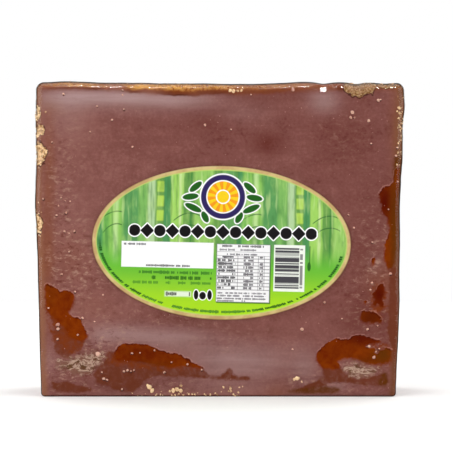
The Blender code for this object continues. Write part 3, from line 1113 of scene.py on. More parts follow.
@dataclass(frozen=True)
class SugarFinish:
    """Hard raw sugar under film: dusky where air lies under it, amber where it clings, tan where broken; with
    painted sheen, highlights and shade.
    """

    dusky: Colour = srgb(132, 82, 76)
    dusky_dark: Colour = srgb(112, 62, 55)
    dusky_light: Colour = srgb(156, 106, 98)
    reddish: Colour = srgb(98, 40, 30)
    scuff: Colour = srgb(184, 144, 126)
    haze: Colour = srgb(184, 152, 150)
    brown: Colour = srgb(137, 80, 55)
    amber: Colour = srgb(136, 56, 6)
    amber_red: Colour = srgb(118, 40, 4)
    stain: Colour = srgb(128, 58, 26)
    amber_deep: Colour = srgb(88, 17, 5)
    olive: Colour = srgb(100, 52, 10)
    dull: Colour = srgb(114, 58, 39)
    lip_highlight: Colour = srgb(206, 146, 130)
    lip_shade_line: Colour = srgb(74, 20, 8)
    rim_gold: Colour = srgb(222, 162, 86)
    rim_amber: Colour = srgb(136, 66, 22)
    rim_brown: Colour = srgb(138, 71, 28)
    rim_shade_line: Colour = srgb(78, 28, 14)
    rim_left: Colour = srgb(150, 100, 74)
    rim_right: Colour = srgb(134, 88, 56)
    rim_low: Colour = srgb(116, 70, 42)
    crumb_pale: Colour = srgb(252, 214, 160)
    crumb_deep: Colour = srgb(160, 110, 66)
    crumb_shaded: Colour = srgb(112, 74, 32)
    painted_chip_shadow: Colour = srgb(60, 28, 20)
    crease_highlight: Colour = srgb(200, 170, 150)
    crinkle_deep: Colour = srgb(134, 96, 78)
    crinkle_olive: Colour = srgb(98, 66, 42)

    def ground(self, graph: MaterialGraph, fine: Value) -> Coat:
        """The dusky ground with its clouds and scuffs; the hazy clouds are partly painted sheen.

        Args:
            graph: the material's graph.
            fine: fine noise.

        Returns:
            The coat, to lay more on.
        """
        place = graph.place
        middling = place.noise(0.13, 5.0, 0.68, 0.6)
        streak = place.stretched((0.03, 0.2, 0.36)).noise(1.0, 4.0, 0.6, 0.7)
        tone = streak * 0.16 + (fine * 0.26 + (place.noise(0.03, 4.0, 0.55, 0.4) * 0.3 + middling * 0.32))
        uneven = middling.step(0.3, 0.62, 0.55, 1.0)
        coat = Coat(tone.step(0.38, 0.52).between(self.dusky_dark, self.dusky))
        coat.lay(self.dusky_light, tone.step(0.5, 0.66), 0.7)
        coat.lay(self.dusky_light, graph.stored("light"), uneven)
        coat.lay(self.reddish, graph.stored("dark"), uneven, 0.85)
        coat.lay(self.brown, graph.stored("brown"), uneven)
        # painted sheen: pale streaky clouds, partly the film's milkiness and partly soft reflections painted
        # in
        coat.lay(self.haze, graph.stored("haze"), streak.step(0.3, 0.7, 0.76, 1.0), 0.95)
        scuffed = graph.stored("scuffed")
        scuff = place.stretched((0.34, 0.4, 0.6)).noise(1.0, 5.0, 0.7, 0.45)
        coat.lay(self.reddish, scuffed, scuff.step(0.45, 0.36), 0.6)
        coat.lay(self.scuff, scuffed, scuff.step(0.52, 0.68), 0.9)
        return coat

    def rim(self, graph: MaterialGraph, coat: Coat, ragged: Value) -> None:
        """Lay the rim: golden at the very edge, then amber that darkens downwards with painted shade, then a
        painted shade line along its lower border.

        Args:
            graph: the material's graph.
            coat: the ground.
            ragged: noise about 0 that makes edges ragged.
        """
        x, _, z = graph.place.parts()
        gild, lined, widened = (graph.stored(name) for name in ("gild", "lined", "widened"))
        waver = graph.place.stretched((0.16, 0.3, 0.3)).noise(1.0, 3.0) - 0.5
        down = waver * 2.2 + (ragged * 1.3 + graph.stored("edge_z"))
        shallow, down = down - widened, down - widened * 2.7
        soft = (lined * -1.5 + 1.8).math("MAXIMUM", 0.3)
        rim_band = Coat(lined.step(0.3, 0.7).between(self.rim_brown, self.rim_amber))
        # painted shade: the band darkens towards its lower border
        rim_band.lay(self.rim_shade_line, down.step(0.0, 3.0), lined.step(0.2, 0.9), 0.65)
        coat.lay(rim_band.colour, down.step(3.3 - soft, soft + 3.3, 1.0, 0.0), (lined * 0.5 + 0.45).clamped())
        patchy = graph.place.noise(1.0, 3.0, 0.6).step(0.32, 0.54)
        coat.lay(self.rim_gold, shallow.step(1.0, 2.8, 1.0, 0.0), gild, patchy)
        # painted shade: a dark line along the band's lower border, as a shallow groove would cast
        coat.lay(self.rim_shade_line, down.band(2.5, 3.1, 0.35), lined.step(0.7, 0.95), 0.85)
        on_right = x.step(-5.0, 5.0)
        wide = on_right * z.step(90.0, 98.0, 0.0, 1.6) + 3.8
        right = z.step(92.0, 99.0).between(self.rim_low, self.rim_right)
        aside = (ragged * 1.6 + graph.stored("edge_x")).step(1.6, wide, 1.0, 0.0)
        coat.lay(on_right.between(self.rim_left, right), aside, patchy.step(0.0, 1.0, 0.6, 1.0), 0.8)

    def clinging(self, graph: MaterialGraph, coat: Coat, ragged: Value) -> None:
        """Lay the patches where the film clings, with a painted highlight just outside their upper edges and
        a painted shade line just inside them.

        Args:
            graph: the material's graph.
            coat: the ground.
            ragged: noise about 0 that makes edges ragged.
        """
        mottle = graph.place.noise(0.3, 5.0, 0.66, 0.3)
        patchy = mottle.step(0.25, 0.6, 0.55, 1.0)
        coat.lay(self.dull, (ragged * 2.2 + graph.stored("dull")).step(-0.5, 0.7), patchy)
        coat.lay(self.olive, (ragged * 2.0 + graph.stored("olive")).step(-0.9, 0.9), patchy, 0.9)
        coat.lay(self.stain, (ragged * 9.0 + graph.stored("soaked")).step(-0.6, 1.8), mottle.step(0.3, 0.6))
        amber = Coat(mottle.step(0.35, 0.68).between(self.amber, self.amber_red))
        amber.lay(self.amber_deep, graph.stored("deep"))
        amber.lay(self.olive, graph.stored("tinge"), mottle.step(0.2, 0.5, 0.4, 1.0), 0.95)
        wet = ragged * 2.2 + graph.stored("wet")
        lip = graph.stored("lip")
        broken = graph.place.noise(0.3, 3.0).step(0.42, 0.56) * lip
        # painted highlight: a pale line just outside the wet patches' upper edges
        coat.lay(self.lip_highlight, wet.band(-0.5, -0.2, 0.15), broken, 0.5)
        soft = lip * -0.68 + 0.8
        coat.lay(amber.colour, wet.step(soft * -1.0, soft))
        # painted shade: a dark line just inside the wet patches' upper edges
        coat.lay(self.lip_shade_line, wet.band(0.1, 0.5, 0.2), broken, 0.8)

    def build(self, tools: Tools) -> Material:
        """The block's material.

        Args:
            tools: the shared groups.

        Returns:
            The material.
        """
        graph = MaterialGraph("raw_sugar_under_film")
        place = graph.place
        fine = place.noise(0.9, 3.0, 0.6)
        ragged = place.noise(0.55, 4.0, 0.62) - 0.5
        coat = self.ground(graph, fine)
        self.rim(graph, coat, ragged)
        self.clinging(graph, coat, ragged)
        grain = graph.group(tools.crumb, Position=place, Size=0.8)
        folds = place.stretched((0.2, 0.3, 0.36)).noise(1.0, 4.0, 0.62, 0.9)
        ridge = abs(folds * 2.0 - 1.0)
        creased = (ragged * 7.0 + graph.stored("crinkled")).step(-1.4, 1.8)
        # painted highlight: the crinkled film is pale along its crease crests
        creases = Coat(ridge.step(0.0, 0.16).between(self.crease_highlight, self.crinkle_deep))
        creases.lay(self.crinkle_olive, folds.step(0.52, 0.62, 0.0, 0.95))
        coat.lay(creases.colour, creased, fine.step(0.3, 0.6, 0.6, 1.0))
        chip = ragged * 0.5 + graph.stored("chip")
        broken = chip.step(-0.03, 0.05)
        # painted shadow: a dark band round the edge of each tan chip
        coat.lay(self.painted_chip_shadow, chip.band(-0.12, 0.03, 0.05), 0.75)
        crumb = Coat(grain.step(0.25, 0.7).between(self.crumb_deep, self.crumb_pale))
        # painted shade: broken sugar near the top is darker
        crumb.lay(self.crumb_shaded, place.parts()[2].step(115.0, 120.0, 0.0, 0.55))
        coat.lay(crumb.colour, broken)
        relief = fine * 0.3 + grain * broken - creased * ridge
        return graph.shade(coat.colour, broken * 0.3 + 0.55, graph.bump(relief, 0.5, 0.3 * MM), 0.0)


@dataclass(frozen=True)
class GrainFinish:
    """Loose crumbs and grains of sugar, and dark blobs of painted shadow under specks, each with its own
    random tone, darkened as painted shade where the carrier stores less light.
    """

    name: str = "pale_sugar_crumbs"
    pale: Colour = srgb(255, 220, 172)
    deep: Colour = srgb(158, 108, 66)

    def build(self, tools: Tools) -> Material:
        """The grains' material.

        Args:
            tools: the shared groups.

        Returns:
            The material.
        """
        graph = MaterialGraph(self.name)
        grain = graph.group(tools.crumb, Position=graph.place, Size=0.45)
        tone = grain * 0.5 + graph.stored("tone") * 0.6
        colour = tone.step(0.05, 0.62).between(self.deep, self.pale)
        return graph.shade(colour, grain * 0.3 + 0.5, graph.bump(grain, 0.4, 0.12 * MM), 0.2)


@dataclass(frozen=True)
class FilmFinish:
    """Clear glossy film: it mirrors more at a slant, and is slightly grey where it bends out of sight."""

    name: str = "clear_film"
    roughness: float = 0.1
    crinkle: float = 4.0
    relief: float = 0.1
    milk: float = 0.0
    gloss: float = 0.9
    straight_on: float = 0.034
    edge_tint: Colour = (0.12, 0.10, 0.07)

    def build(self, tools: Tools) -> Material:
        """The film's material: see-through, with gloss that grows at a slant.

        Args:
            tools: the shared groups.

        Returns:
            The material.
        """
        graph = MaterialGraph(self.name)
        nodes = graph.tree.nodes
        nodes.remove(nodes["Principled BSDF"])
        lines = graph.group(tools.crinkle, Position=graph.place, Size=self.crinkle)
        normal = graph.bump(lines, self.relief, 1.0 * MM)
        slant = graph.add("ShaderNodeLayerWeight", {"Blend": 0.5, "Normal": normal}, "Facing")
        seen = graph.add("ShaderNodeLightPath", (), "Is Camera Ray")
        edge_on = slant.step(0.22, 0.62) * seen * graph.stored("bend")
        clear = graph.add("ShaderNodeBsdfTransparent", (edge_on.between((1, 1, 1), self.edge_tint),))
        smear = graph.place.noise(0.2, 3.0) * 0.12 + self.roughness
        shine = graph.add("ShaderNodeBsdfGlossy", {"Roughness": smear, "Normal": normal})
        mirrored = slant.math("POWER", 5.0) * (1 - self.straight_on) + self.straight_on
        share = (mirrored * self.gloss + self.milk).clamped()
        graph.fill(nodes["Material Output"], (graph.add("ShaderNodeMixShader", (share, clear, shine)),))
        return graph.material


@dataclass(frozen=True)
class Stalk:
    """An upright band of the printed cane: middle and half width in millimetres, colour and softness."""

    at: float
    half: float
    colour: Colour
    soft: float


@dataclass(frozen=True)
class Arc:
    """A fine arc between stalks: its top, how fast it bends, and the middle and half width of what shows."""

    x: float
    z: float
    bend: float
    middle: float
    half: float


@dataclass(frozen=True)
class Leaf:
    """A leaf of the badge, at both sides: middle, turn in degrees and half length in millimetres."""

    x: float
    z: float
    turn: float
    half: float


@dataclass(frozen=True)
class Panel:
    """An upright rectangle of the print: middle and half sizes in millimetres."""

    x: float
    z: float
    half_x: float
    half_z: float

    def grown(self, aside: float, above: float) -> "Panel":
        """The panel with margins at its sides and above and below."""
        return Panel(self.x, self.z, self.half_x + aside, self.half_z + above)


@dataclass(frozen=True)
class Row:
    """A row of printed dashes: where it is, their colour and the width of one."""

    panel: Panel
    colour: Colour
    cell: float


class Print(Coat):
    """Lays flat shapes of colour over one another on the label."""

    def __init__(self, tools: Tools, place: Value, x: Value, z: Value, ground: object) -> None:
        """Start from a ground colour.

        Args:
            tools: the shared groups.
            place: the position in millimetres, for noise.
            x, z: the place across and up the print in millimetres.
            ground: the colour below everything.
        """
        super().__init__(ground)
        self.tools, self.place, self.x, self.z = tools, place, x, z
        self.group = x.graph.group

    def inside(self, tree: NodeTree, panel: Panel, **settings: float) -> Value:
        """A group's mask for a rectangle."""
        reach = {"X": panel.x, "Z": panel.z, "ReachX": panel.half_x, "ReachZ": panel.half_z}
        return self.group(tree, Across=self.x, Up=self.z, **reach, **settings)

    def box(self, panel: Panel, edge: float = 0.1) -> Value:
        """A rectangle's mask."""
        return self.inside(self.tools.box, panel, Edge=edge)

    def oval(self, panel: Panel, turn: float = 0.0, edge: float = 0.06) -> Value:
        """The mask of the oval in a rectangle, turned by degrees."""
        return self.inside(self.tools.oval, panel, Edge=edge, Turn=math.radians(turn))

    def dashes(self, along: Value, across: Value, half: float, cell: float, seed: float) -> Value:
        """The mask of a row of dashes."""
        return self.group(self.tools.dashes, Along=along, Across=across, Half=half, Cell=cell, Seed=seed)

    def row(self, row: Row, seed: float) -> None:
        """Lay a row of dashes.

        Args:
            row: the row.
            seed: picks other gaps.
        """
        panel = row.panel
        dashes = self.dashes(self.x, self.z - panel.z, panel.half_z, row.cell, seed)
        self.lay(row.colour, dashes, self.box(panel.grown(0, 0.1), 0.02), 0.9)


@dataclass(frozen=True)
class LabelFinish:
    """A printed oval label: cane greens in a tan border, with plain generic panels; in millimetres."""

    middle: tuple[float, float] = (0.5, 61.6)
    reach: tuple[float, float] = (51.8, 30.8)
    turn_degrees: float = 1.3
    border_tan: Colour = srgb(218, 192, 130)
    border_brown: Colour = srgb(200, 164, 108)
    border_edge: Colour = srgb(140, 100, 62)
    border_lime: Colour = srgb(196, 214, 110)
    leaf_green: Colour = srgb(106, 160, 74)
    plain_green: Colour = srgb(104, 192, 52)
    lime: Colour = srgb(174, 228, 20)
    node_line: Colour = srgb(48, 112, 48)
    bead: Colour = srgb(180, 218, 84)
    lit_green: Colour = srgb(196, 232, 128)
    shaded_green: Colour = srgb(62, 128, 62)
    glint_green: Colour = srgb(200, 230, 150)
    gap_green: Colour = srgb(66, 124, 60)
    ink: Colour = srgb(22, 18, 20)
    navy: Colour = srgb(46, 32, 96)
    yellow: Colour = srgb(252, 212, 20)
    orange: Colour = srgb(250, 158, 16)
    dark_green: Colour = srgb(28, 98, 20)
    mid_green: Colour = srgb(70, 140, 36)
    shadow_green: Colour = srgb(74, 128, 34)
    grey: Colour = srgb(96, 92, 98)
    frame_grey: Colour = srgb(120, 118, 122)
    word_grey: Colour = srgb(56, 54, 60)
    bar_grey: Colour = srgb(74, 72, 78)
    paper: Colour = srgb(250, 249, 250)
    bar_paper: Colour = srgb(246, 250, 240)
    dashes_radius: float = 42.0
    dashes_inset: float = 3.15
    cane_period: float = 55.8
    cane_start: float = 49.4
    stalks: tuple[Stalk, ...] = (
        Stalk(5.6, 5.4, srgb(142, 200, 92), 0.5),
        Stalk(3.2, 1.6, srgb(118, 186, 84), 0.6),
        Stalk(7.4, 0.9, srgb(188, 224, 148), 0.7),
        Stalk(0.6, 1.5, srgb(74, 150, 88), 0.7),
        Stalk(13.6, 3.4, srgb(90, 158, 88), 1.4),
        Stalk(18.2, 1.8, srgb(128, 188, 96), 0.8),
        Stalk(21.6, 1.4, srgb(182, 214, 160), 0.5),
        Stalk(28.0, 1.5, srgb(76, 150, 86), 0.5),
        Stalk(31.8, 2.5, srgb(162, 214, 98), 0.5),
        Stalk(33.0, 0.5, srgb(200, 228, 152), 0.3),
        Stalk(37.4, 0.35, srgb(70, 140, 62), 0.25),
        Stalk(42.5, 3.8, srgb(152, 204, 100), 0.8),
        Stalk(52.5, 2.6, srgb(104, 166, 90), 1.0),
    )
    arcs: tuple[Arc, ...] = (
        Arc(8.2, 11.7, 0.073, 5.6, 4.4), Arc(8.0, 6.7, 0.119, 5.4, 4.4), Arc(37.3, 11.6, 0.065, 36.0, 5.6),
        Arc(37.6, 6.8, 0.07, 36.6, 5.0),
    )
    beads: Panel = Panel(25.1, 14, 1.4, 12)
    bead_top: float = 19.1
    bead_pitch: float = 5.8
    badge: tuple[float, float] = (0.2, 18.4)
    rings: tuple[tuple[float, float], ...] = (
        (9.4, 0.02), (8.8, 0.02), (6.7, 0.02), (6.2, 0.02), (2.9, 0.04), (2.4, 0.05),
    )
    rays: float = 12.0
    leaves: tuple[Leaf, ...] = (
        Leaf(11.6, 13.8, 24, 3.6), Leaf(12.8, 18.2, -8, 3.2), Leaf(10.8, 22.2, -40, 3.0),
        Leaf(6.8, 10.2, 62, 2.4),
    )
    leaf_half_width: float = 1.25
    frieze: Panel = Panel(0.5, 4.3, 37.4, 3.2)
    frieze_period: float = 10.1
    frieze_start: float = 198.975
    disc: float = 2.2
    lozenge: float = 1.95
    date_panel: Panel = Panel(-21.5, -5.25, 18.4, 5.15)
    table_shadow: Panel = Panel(9.2, -12.3, 10.8, 11.8)
    table: Panel = Panel(8.9, -12.0, 10.55, 11.45)
    lines: Panel = Panel(8.9, -11.9, 10.5, 6.9)
    line_pitch: float = 1.38
    line_width: float = 0.14
    columns: tuple[Panel, ...] = (
        Panel(2.2, -11.9, 3.6, 6.7), Panel(11.0, -11.9, 2.0, 6.7), Panel(16.1, -11.9, 0.7, 6.7),
    )
    column_lines: tuple[float, ...] = (6.7, 14.9, 17.3)
    head_lines: tuple[float, ...] = (-3.5, -5.1)
    bar_panel: Panel = Panel(27.3, -9.6, 6.2, 9.3)
    bars: Panel = Panel(26.4, -9.6, 4.8, 8.1)
    ticks: Panel = Panel(32.1, -9.6, 0.55, 7.9)
    weight_panel: Panel = Panel(-17.0, -20.8, 5.2, 1.0)
    weight_ovals: tuple[Panel, ...] = (
        Panel(-9.7, -21.0, 0.9, 1.9), Panel(-7.1, -21.3, 1.3, 1.5), Panel(-4.3, -21.0, 0.9, 1.9),
    )
    stem: Panel = Panel(35.4, -4.0, 0.2, 3.4)
    hanging_leaf: Panel = Panel(35.2, -8.8, 0.7, 1.8)
    rows: tuple[Row, ...] = (
        Row(Panel(-34.6, -1.2, 4.4, 0.42), srgb(72, 70, 76), 0.5),
        Row(Panel(-21.4, -9.6, 9.0, 0.5), srgb(60, 58, 64), 0.6),
        Row(Panel(-18.2, -12.3, 14.6, 0.72), srgb(52, 124, 30), 0.5),
        Row(Panel(-15.6, -14.4, 12.0, 0.82), srgb(22, 98, 14), 0.62),
        Row(Panel(-19.5, -16.4, 15.7, 0.66), srgb(78, 148, 34), 0.5),
        Row(Panel(8.9, -1.2, 8.6, 0.5), srgb(62, 60, 66), 0.55),
        Row(Panel(8.9, -2.7, 9.6, 0.45), srgb(120, 118, 124), 0.45),
        Row(Panel(7.6, -4.5, 6.8, 0.4), srgb(96, 94, 100), 0.45),
        Row(Panel(8.5, -20.0, 9.6, 0.4), srgb(112, 110, 116), 0.4),
        Row(Panel(8.5, -21.1, 9.6, 0.4), srgb(104, 102, 108), 0.45),
        Row(Panel(8.3, -22.2, 9.8, 0.4), srgb(96, 94, 100), 0.4),
        Row(Panel(4.4, -23.1, 5.6, 0.35), srgb(104, 102, 108), 0.45),
        Row(Panel(-17.0, -20.8, 4.9, 0.85), srgb(66, 66, 60), 0.7),
    )

    def on_label(self, place: Value) -> tuple[Value, Value]:
        """Places on the slightly turned label.

        Args:
            place: the position in millimetres.

        Returns:
            The places across and up, from the label's middle.
        """
        turn = math.radians(self.turn_degrees)
        x, _, z = place.parts()
        x, z = x - self.middle[0], z - self.middle[1]
        return x * math.cos(turn) - z * math.sin(turn), z * math.cos(turn) + x * math.sin(turn)

    def cane(self, sheet: Print) -> None:
        """Lay upright cane stalks that fade into plain green below.

        Args:
            sheet: the print.
        """
        blur = sheet.place.stretched((0.3, 0, 0.12)).noise(1.0, 2.0)
        drifted = blur * 0.9 + (sheet.x + (self.cane_start + 2 * self.cane_period))
        band = (drifted / self.cane_period).share() * self.cane_period
        strip = Print(sheet.tools, sheet.place, band, sheet.z, self.leaf_green)
        for stalk in self.stalks:
            strip.lay(stalk.colour, strip.box(Panel(stalk.at, 0, stalk.half, 60), stalk.soft))
        wave = ((sheet.z - self.bead_top) * (math.pi / self.bead_pitch)).math("SINE")
        strip.lay(self.bead, strip.box(self.beads, 0.4), abs(wave).step(0.2, 0.6))
        for arc in self.arcs:
            offset = band - arc.x
            line = abs(sheet.z - (arc.z - offset * offset * arc.bend)).step(0.1, 0.4, 1.0, 0.0)
            strip.lay(self.node_line, line, strip.box(Panel(arc.middle, 9, arc.half, 6), 0.3), 0.85)
        lit = sheet.place.stretched((0.25, 0, 0.1)).noise(1.0, 3.0)
        glint = sheet.place.stretched((0.5, 0, 0.07)).noise(1.0, 1.5)
        strip.lay(self.lit_green, lit.step(0.5, 0.75), 0.35)
        strip.lay(self.shaded_green, lit.step(0.5, 0.3), 0.45)
        strip.lay(self.glint_green, glint.step(0.54, 0.7), 0.5)
        strip.lay(self.gap_green, glint.step(0.46, 0.32), 0.45)
        green = sheet.z.step(-27.0, -8.0).between(self.lime, self.plain_green)
        sheet.colour = sheet.z.step(-11.0, 0.0).between(green, strip.colour)

    def emblem(self, sheet: Print) -> None:
        """Lay a round sunburst badge with leaves at both sides.

        Args:
            sheet: the print.
        """
        for colour, grow in ((WHITE, 0.5), (self.dark_green, 0.0)):
            for side in (-1, 1):
                for leaf in self.leaves:
                    panel = Panel(side * leaf.x, leaf.z, leaf.half, self.leaf_half_width).grown(grow, grow)
                    sheet.lay(colour, sheet.oval(panel, side * leaf.turn, 0.08))
        angle = (sheet.z - self.badge[1]).math("ARCTAN2", sheet.x - self.badge[0])
        rays = (angle * self.rays).math("SINE").step(-0.25, 0.25).between(self.yellow, self.orange)
        colours = (WHITE, self.navy, WHITE, rays, WHITE, self.yellow)
        for (radius, edge), colour in zip(self.rings, colours):
            sheet.lay(colour, sheet.oval(Panel(*self.badge, radius, radius), 0.0, edge))

    def discs(self, sheet: Print) -> None:
        """Lay the row of discs and lozenges, black with a white outline.

        Args:
            sheet: the print.
        """
        along, across = sheet.x + self.frieze_start, sheet.z - self.frieze.z
        sizes = {"Period": self.frieze_period, "Disc": self.disc, "Lozenge": self.lozenge}
        for grow, colour in ((0.55, WHITE), (0.05, self.ink)):
            shapes = sheet.group(sheet.tools.frieze, Along=along, Across=across, Grow=grow, **sizes)
            sheet.lay(colour, shapes, sheet.box(self.frieze.grown(grow, 0), 0.05))

    def panels(self, sheet: Print) -> None:
        """Lay the white panels: the plain one and the ruled table.

        Args:
            sheet: the print.
        """
        sheet.lay(WHITE, sheet.box(self.date_panel))
        sheet.lay(self.shadow_green, sheet.box(self.table_shadow), 0.9)
        sheet.lay(self.frame_grey, sheet.box(self.table.grown(0.2, 0.2)))
        sheet.lay(self.paper, sheet.box(self.table))
        up = sheet.z + 40.0
        rules = sheet.group(sheet.tools.rules, Value=up, Pitch=self.line_pitch, Width=self.line_width)
        sheet.lay(self.grey, rules, sheet.box(self.lines, 0.02), 0.8)
        for x in self.column_lines:
            sheet.lay(self.grey, sheet.box(Panel(x, self.lines.z, 0.1, self.lines.half_z)), 0.8)
        for z in self.head_lines:
            sheet.lay(self.grey, sheet.box(Panel(self.lines.x, z, self.lines.half_x, 0.08), 0.08), 0.7)
        line = up / self.line_pitch + 0.5
        along = line.math("FLOOR") * 17.3 + sheet.x
        words = sheet.dashes(along, (line.share() - 0.5) * self.line_pitch, 0.55, 0.5, 2.0)
        for column, colour in zip(self.columns, (self.word_grey, self.grey, self.grey)):
            sheet.lay(colour, words, sheet.box(column, 0.05))

    def stripes(self, sheet: Print) -> None:
        """Lay the striped panel, the weight place's plain ovals and a small hanging leaf.

        Args:
            sheet: the print.
        """
        up = sheet.z + 60.0
        sheet.lay(self.bar_paper, sheet.box(self.bar_panel))
        bars = (up * 2.4).random().step(0.32, 0.34)
        faint = (up * 4.3 + 133.0).random().step(0.5, 0.52) * 0.5
        sheet.lay(self.bar_grey, bars.math("MAXIMUM", faint), sheet.box(self.bars, 0.08))
        sheet.lay(self.grey, (up * 1.3).random().step(0.3, 0.4), sheet.box(self.ticks), 0.8)
        sheet.lay(WHITE, sheet.box(self.weight_panel, 0.5), 0.75)
        for grow, colour in ((0.4, WHITE), (0.0, self.ink)):
            for panel in self.weight_ovals:
                sheet.lay(colour, sheet.oval(panel.grown(grow, grow)))
        sheet.lay(self.dark_green, sheet.box(self.stem, 0.2), 0.85)
        sheet.lay(self.dark_green, sheet.oval(self.hanging_leaf, 0.0, 0.2), 0.9)

    def border(self, sheet: Print) -> None:
        """Lay a tan border, with a pale lime line within it and a brown one round it.

        Args:
            sheet: the print.
        """
        share = (sheet.x / self.reach[0]).length(sheet.z / self.reach[1])
        length = sheet.x.length(sheet.z)
        within = length / share - length
        along = sheet.z.math("ARCTAN2", sheet.x) * self.dashes_radius
        dashes = sheet.dashes(along, within - self.dashes_inset, 0.66, 0.75, 5.0)
        below = sheet.x.step(-32.0, -29.0) * sheet.x.step(16.0, 13.0)
        sheet.lay(below.between(self.dark_green, self.mid_green), dashes, sheet.z.step(2.0, -3.0))
        worn = sheet.place.noise(0.15, 3.0).step(0.4, 0.62)
        sheet.lay(self.border_lime, within.step(2.1, 1.8), 0.85)
        sheet.lay(worn.between(self.border_tan, self.border_brown), within.step(1.65, 1.35))
        sheet.lay(self.border_edge, within.step(0.5, 0.1), 0.7)

    def build(self, tools: Tools) -> Material:
        """The label's material.

        Args:
            tools: the shared groups.

        Returns:
            The material.
        """
        graph = MaterialGraph("printed_oval_label")
        sheet = Print(tools, graph.place, *self.on_label(graph.place), self.leaf_green)
        for lay in (self.cane, self.emblem, self.discs, self.panels, self.stripes):
            lay(sheet)
        for number, row in enumerate(self.rows):
            sheet.row(row, 3.0 + number)
        self.border(sheet)
        fibre = graph.place.noise(0.5, 3.0)
        return graph.shade(sheet.colour, fibre * 0.15 + 0.35, graph.bump(fibre, 0.15, 0.1 * MM), 0.3)


# ---- the pieces


@dataclass(frozen=True)
class Drift:
    """Noise that stands for a tone on the sides and back: cell in millimetres, seed, step and most."""

    name: str
    cell: float
    seed: int
    low: float
    high: float
    most: float = 0.6

    def at(self, points: Array) -> Array:
        """The tone at each point."""
        return smooth_step(self.low, self.high, rough_noise(points, self.cell * MM, self.seed)) * self.most


@dataclass
class SugarBlock:
    """The moulded sugar under its film."""

    tools: Tools
    finish: SugarFinish = field(default_factory=SugarFinish)
    fine: float = 0.55 * MM
    coarse: float = 0.95 * MM
    fine_deep: float = 0.7 * MM
    coarse_deep: float = 2.2 * MM
    below_film: float = 0.22 * MM
    least_below: float = 0.06 * MM
    grain_cell: float = 2.2 * MM
    grain_height: float = 0.05 * MM
    grain_seed: int = 3
    crag_cell: float = 1.5 * MM
    crag_height: float = 0.4 * MM
    crag_seed: int = 7
    chip_cell: float = 1.8 * MM
    chip_raggedness: float = 0.4
    chip_reach: float = 0.85
    chip_seed: int = 31
    rims: tuple[tuple[float, float], ...] = ((12 * MM, 12 * MM), (5 * MM, 4 * MM), (20 * MM, 8 * MM))
    patch_cell: float = 26 * MM
    patch_seed: int = 41
    dry: float = -9.0
    face_tones: tuple[Drift, ...] = (
        Drift("deep", 18, 43, 0.1, 0.6), Drift("haze", 30, 44, 0.15, 0.6),
        Drift("light", 34, 45, 0.1, 0.6, 0.5), Drift("dark", 24, 46, 0.15, 0.6),
        Drift("brown", 22, 47, 0.2, 0.6, 0.5), Drift("tinge", 20, 48, 0.1, 0.6),
        Drift("scuffed", 16, 52, 0.0, 0.6, 0.8),
    )
    rim_tones: tuple[Drift, ...] = (
        Drift("gild", 18, 49, -0.2, 0.5, 1.0), Drift("lined", 24, 50, -0.3, 0.5, 0.9),
        Drift("crumbly", 9, 51, 0.15, 0.6),
    )

    def chip_depth(self, points: Array) -> Array:
        """How far inside a tan chip each point is.

        Args:
            points: points on the block.

        Returns:
            The depth in shares of the chip's reach, for each point.
        """
        ragged = rough_noise(points, self.chip_cell, self.chip_seed) * self.chip_raggedness
        shares = [dent.share(points) + ragged for dent in MOULD.dents if dent.tan]
        return self.chip_reach - np.min(shares, axis=0)

    def tones(self, laid: Array, front: Array) -> dict[str, Array]:
        """The patches and tones at each point, from the map in front and from noise elsewhere.

        Args:
            laid: the points on the block.
            front: 1 on the front face and 0 away from it.

        Returns:
            The values by name.
        """
        places = laid[:, (0, 2)] / MM
        shown = front > 0
        on_front, share = places[shown], front[shown]
        coarse = rough_noise(laid, self.patch_cell, self.patch_seed)
        values = {name: np.full(len(laid), self.dry) for name in ("olive", "soaked", "crinkled")}
        values |= {"wet": (coarse - 0.30) * 16, "dull": (coarse - 0.18) * 16}
        for name, value in values.items():
            value[shown] = FRONT_MAP.deepest(on_front, getattr(FRONT_MAP, name)) * share - 3 * (1 - share)
        for drift in self.face_tones:
            value = values[drift.name] = drift.at(laid)
            value[shown] += (FRONT_MAP.cover(on_front, getattr(FRONT_MAP, drift.name)) - value[shown]) * share
        values["lip"] = np.full(len(laid), 0.5)
        values["lip"][shown] = FRONT_MAP.lip(on_front)
        ahead = smooth_step(-10 * MM, -17 * MM, laid[:, 1])
        rim = {"widened": np.full(len(laid), 0.2), **{drift.name: drift.at(laid) for drift in self.rim_tones}}
        for name, value in rim.items():
            values[name] = value + (FRONT_MAP.cover(places, getattr(FRONT_MAP, name)) - value) * ahead
        return values

    def build(self) -> Object:
        """Mesh the block, cut its chips and dress it.

        Returns:
            The piece.
        """
        half, depth, height = MOULD.nominal_half, MOULD.depth / 2, MOULD.height
        lines = (
            grid_lines(-half, half, self.fine, self.coarse, self.rims[0]),
            grid_lines(-depth, depth, self.fine_deep, self.coarse_deep, self.rims[1]),
            grid_lines(0, height, self.fine, self.coarse, self.rims[2]),
        )
        mesh = box_mesh("sugar_block", lines)
        plain = read_points(mesh)
        laid, outward = MOULD.surface(plain)
        front = smooth_step(0.35, 0.85, -outward[:, 1])
        chip = self.chip_depth(laid)
        crag = rough_noise(laid, self.crag_cell, self.crag_seed) * self.crag_height
        crag *= smooth_step(-0.1, 0.1, chip)
        grain = rough_noise(laid, self.grain_cell, self.grain_seed) * self.grain_height
        hollow = MOULD.dented(laid) + GLINT.cut(laid, outward)
        drop = np.maximum(self.below_film + hollow + crag + grain, self.least_below)
        on_base = smooth_step(0.4 * MM, 0.0, plain[:, 2])
        drop = drop * (1 - on_base) + self.below_film * on_base
        write_points(mesh, laid - outward * drop[:, None])
        from_end, from_face = (half - np.abs(plain[:, 0])) / MM, (depth - np.abs(plain[:, 1])) / MM
        edge_x = np.hypot(from_end, from_face)
        edge_z = np.hypot((height - plain[:, 2]) / MM, 1.5 * np.minimum(from_end, from_face))
        write_values(mesh, chip=chip, edge_x=edge_x, edge_z=edge_z, **self.tones(laid, front))
        piece = add_piece("sugar_block", mesh, self.finish.build(self.tools))
        settle(piece, "raw_sugar", "rapadura_block")
        return piece


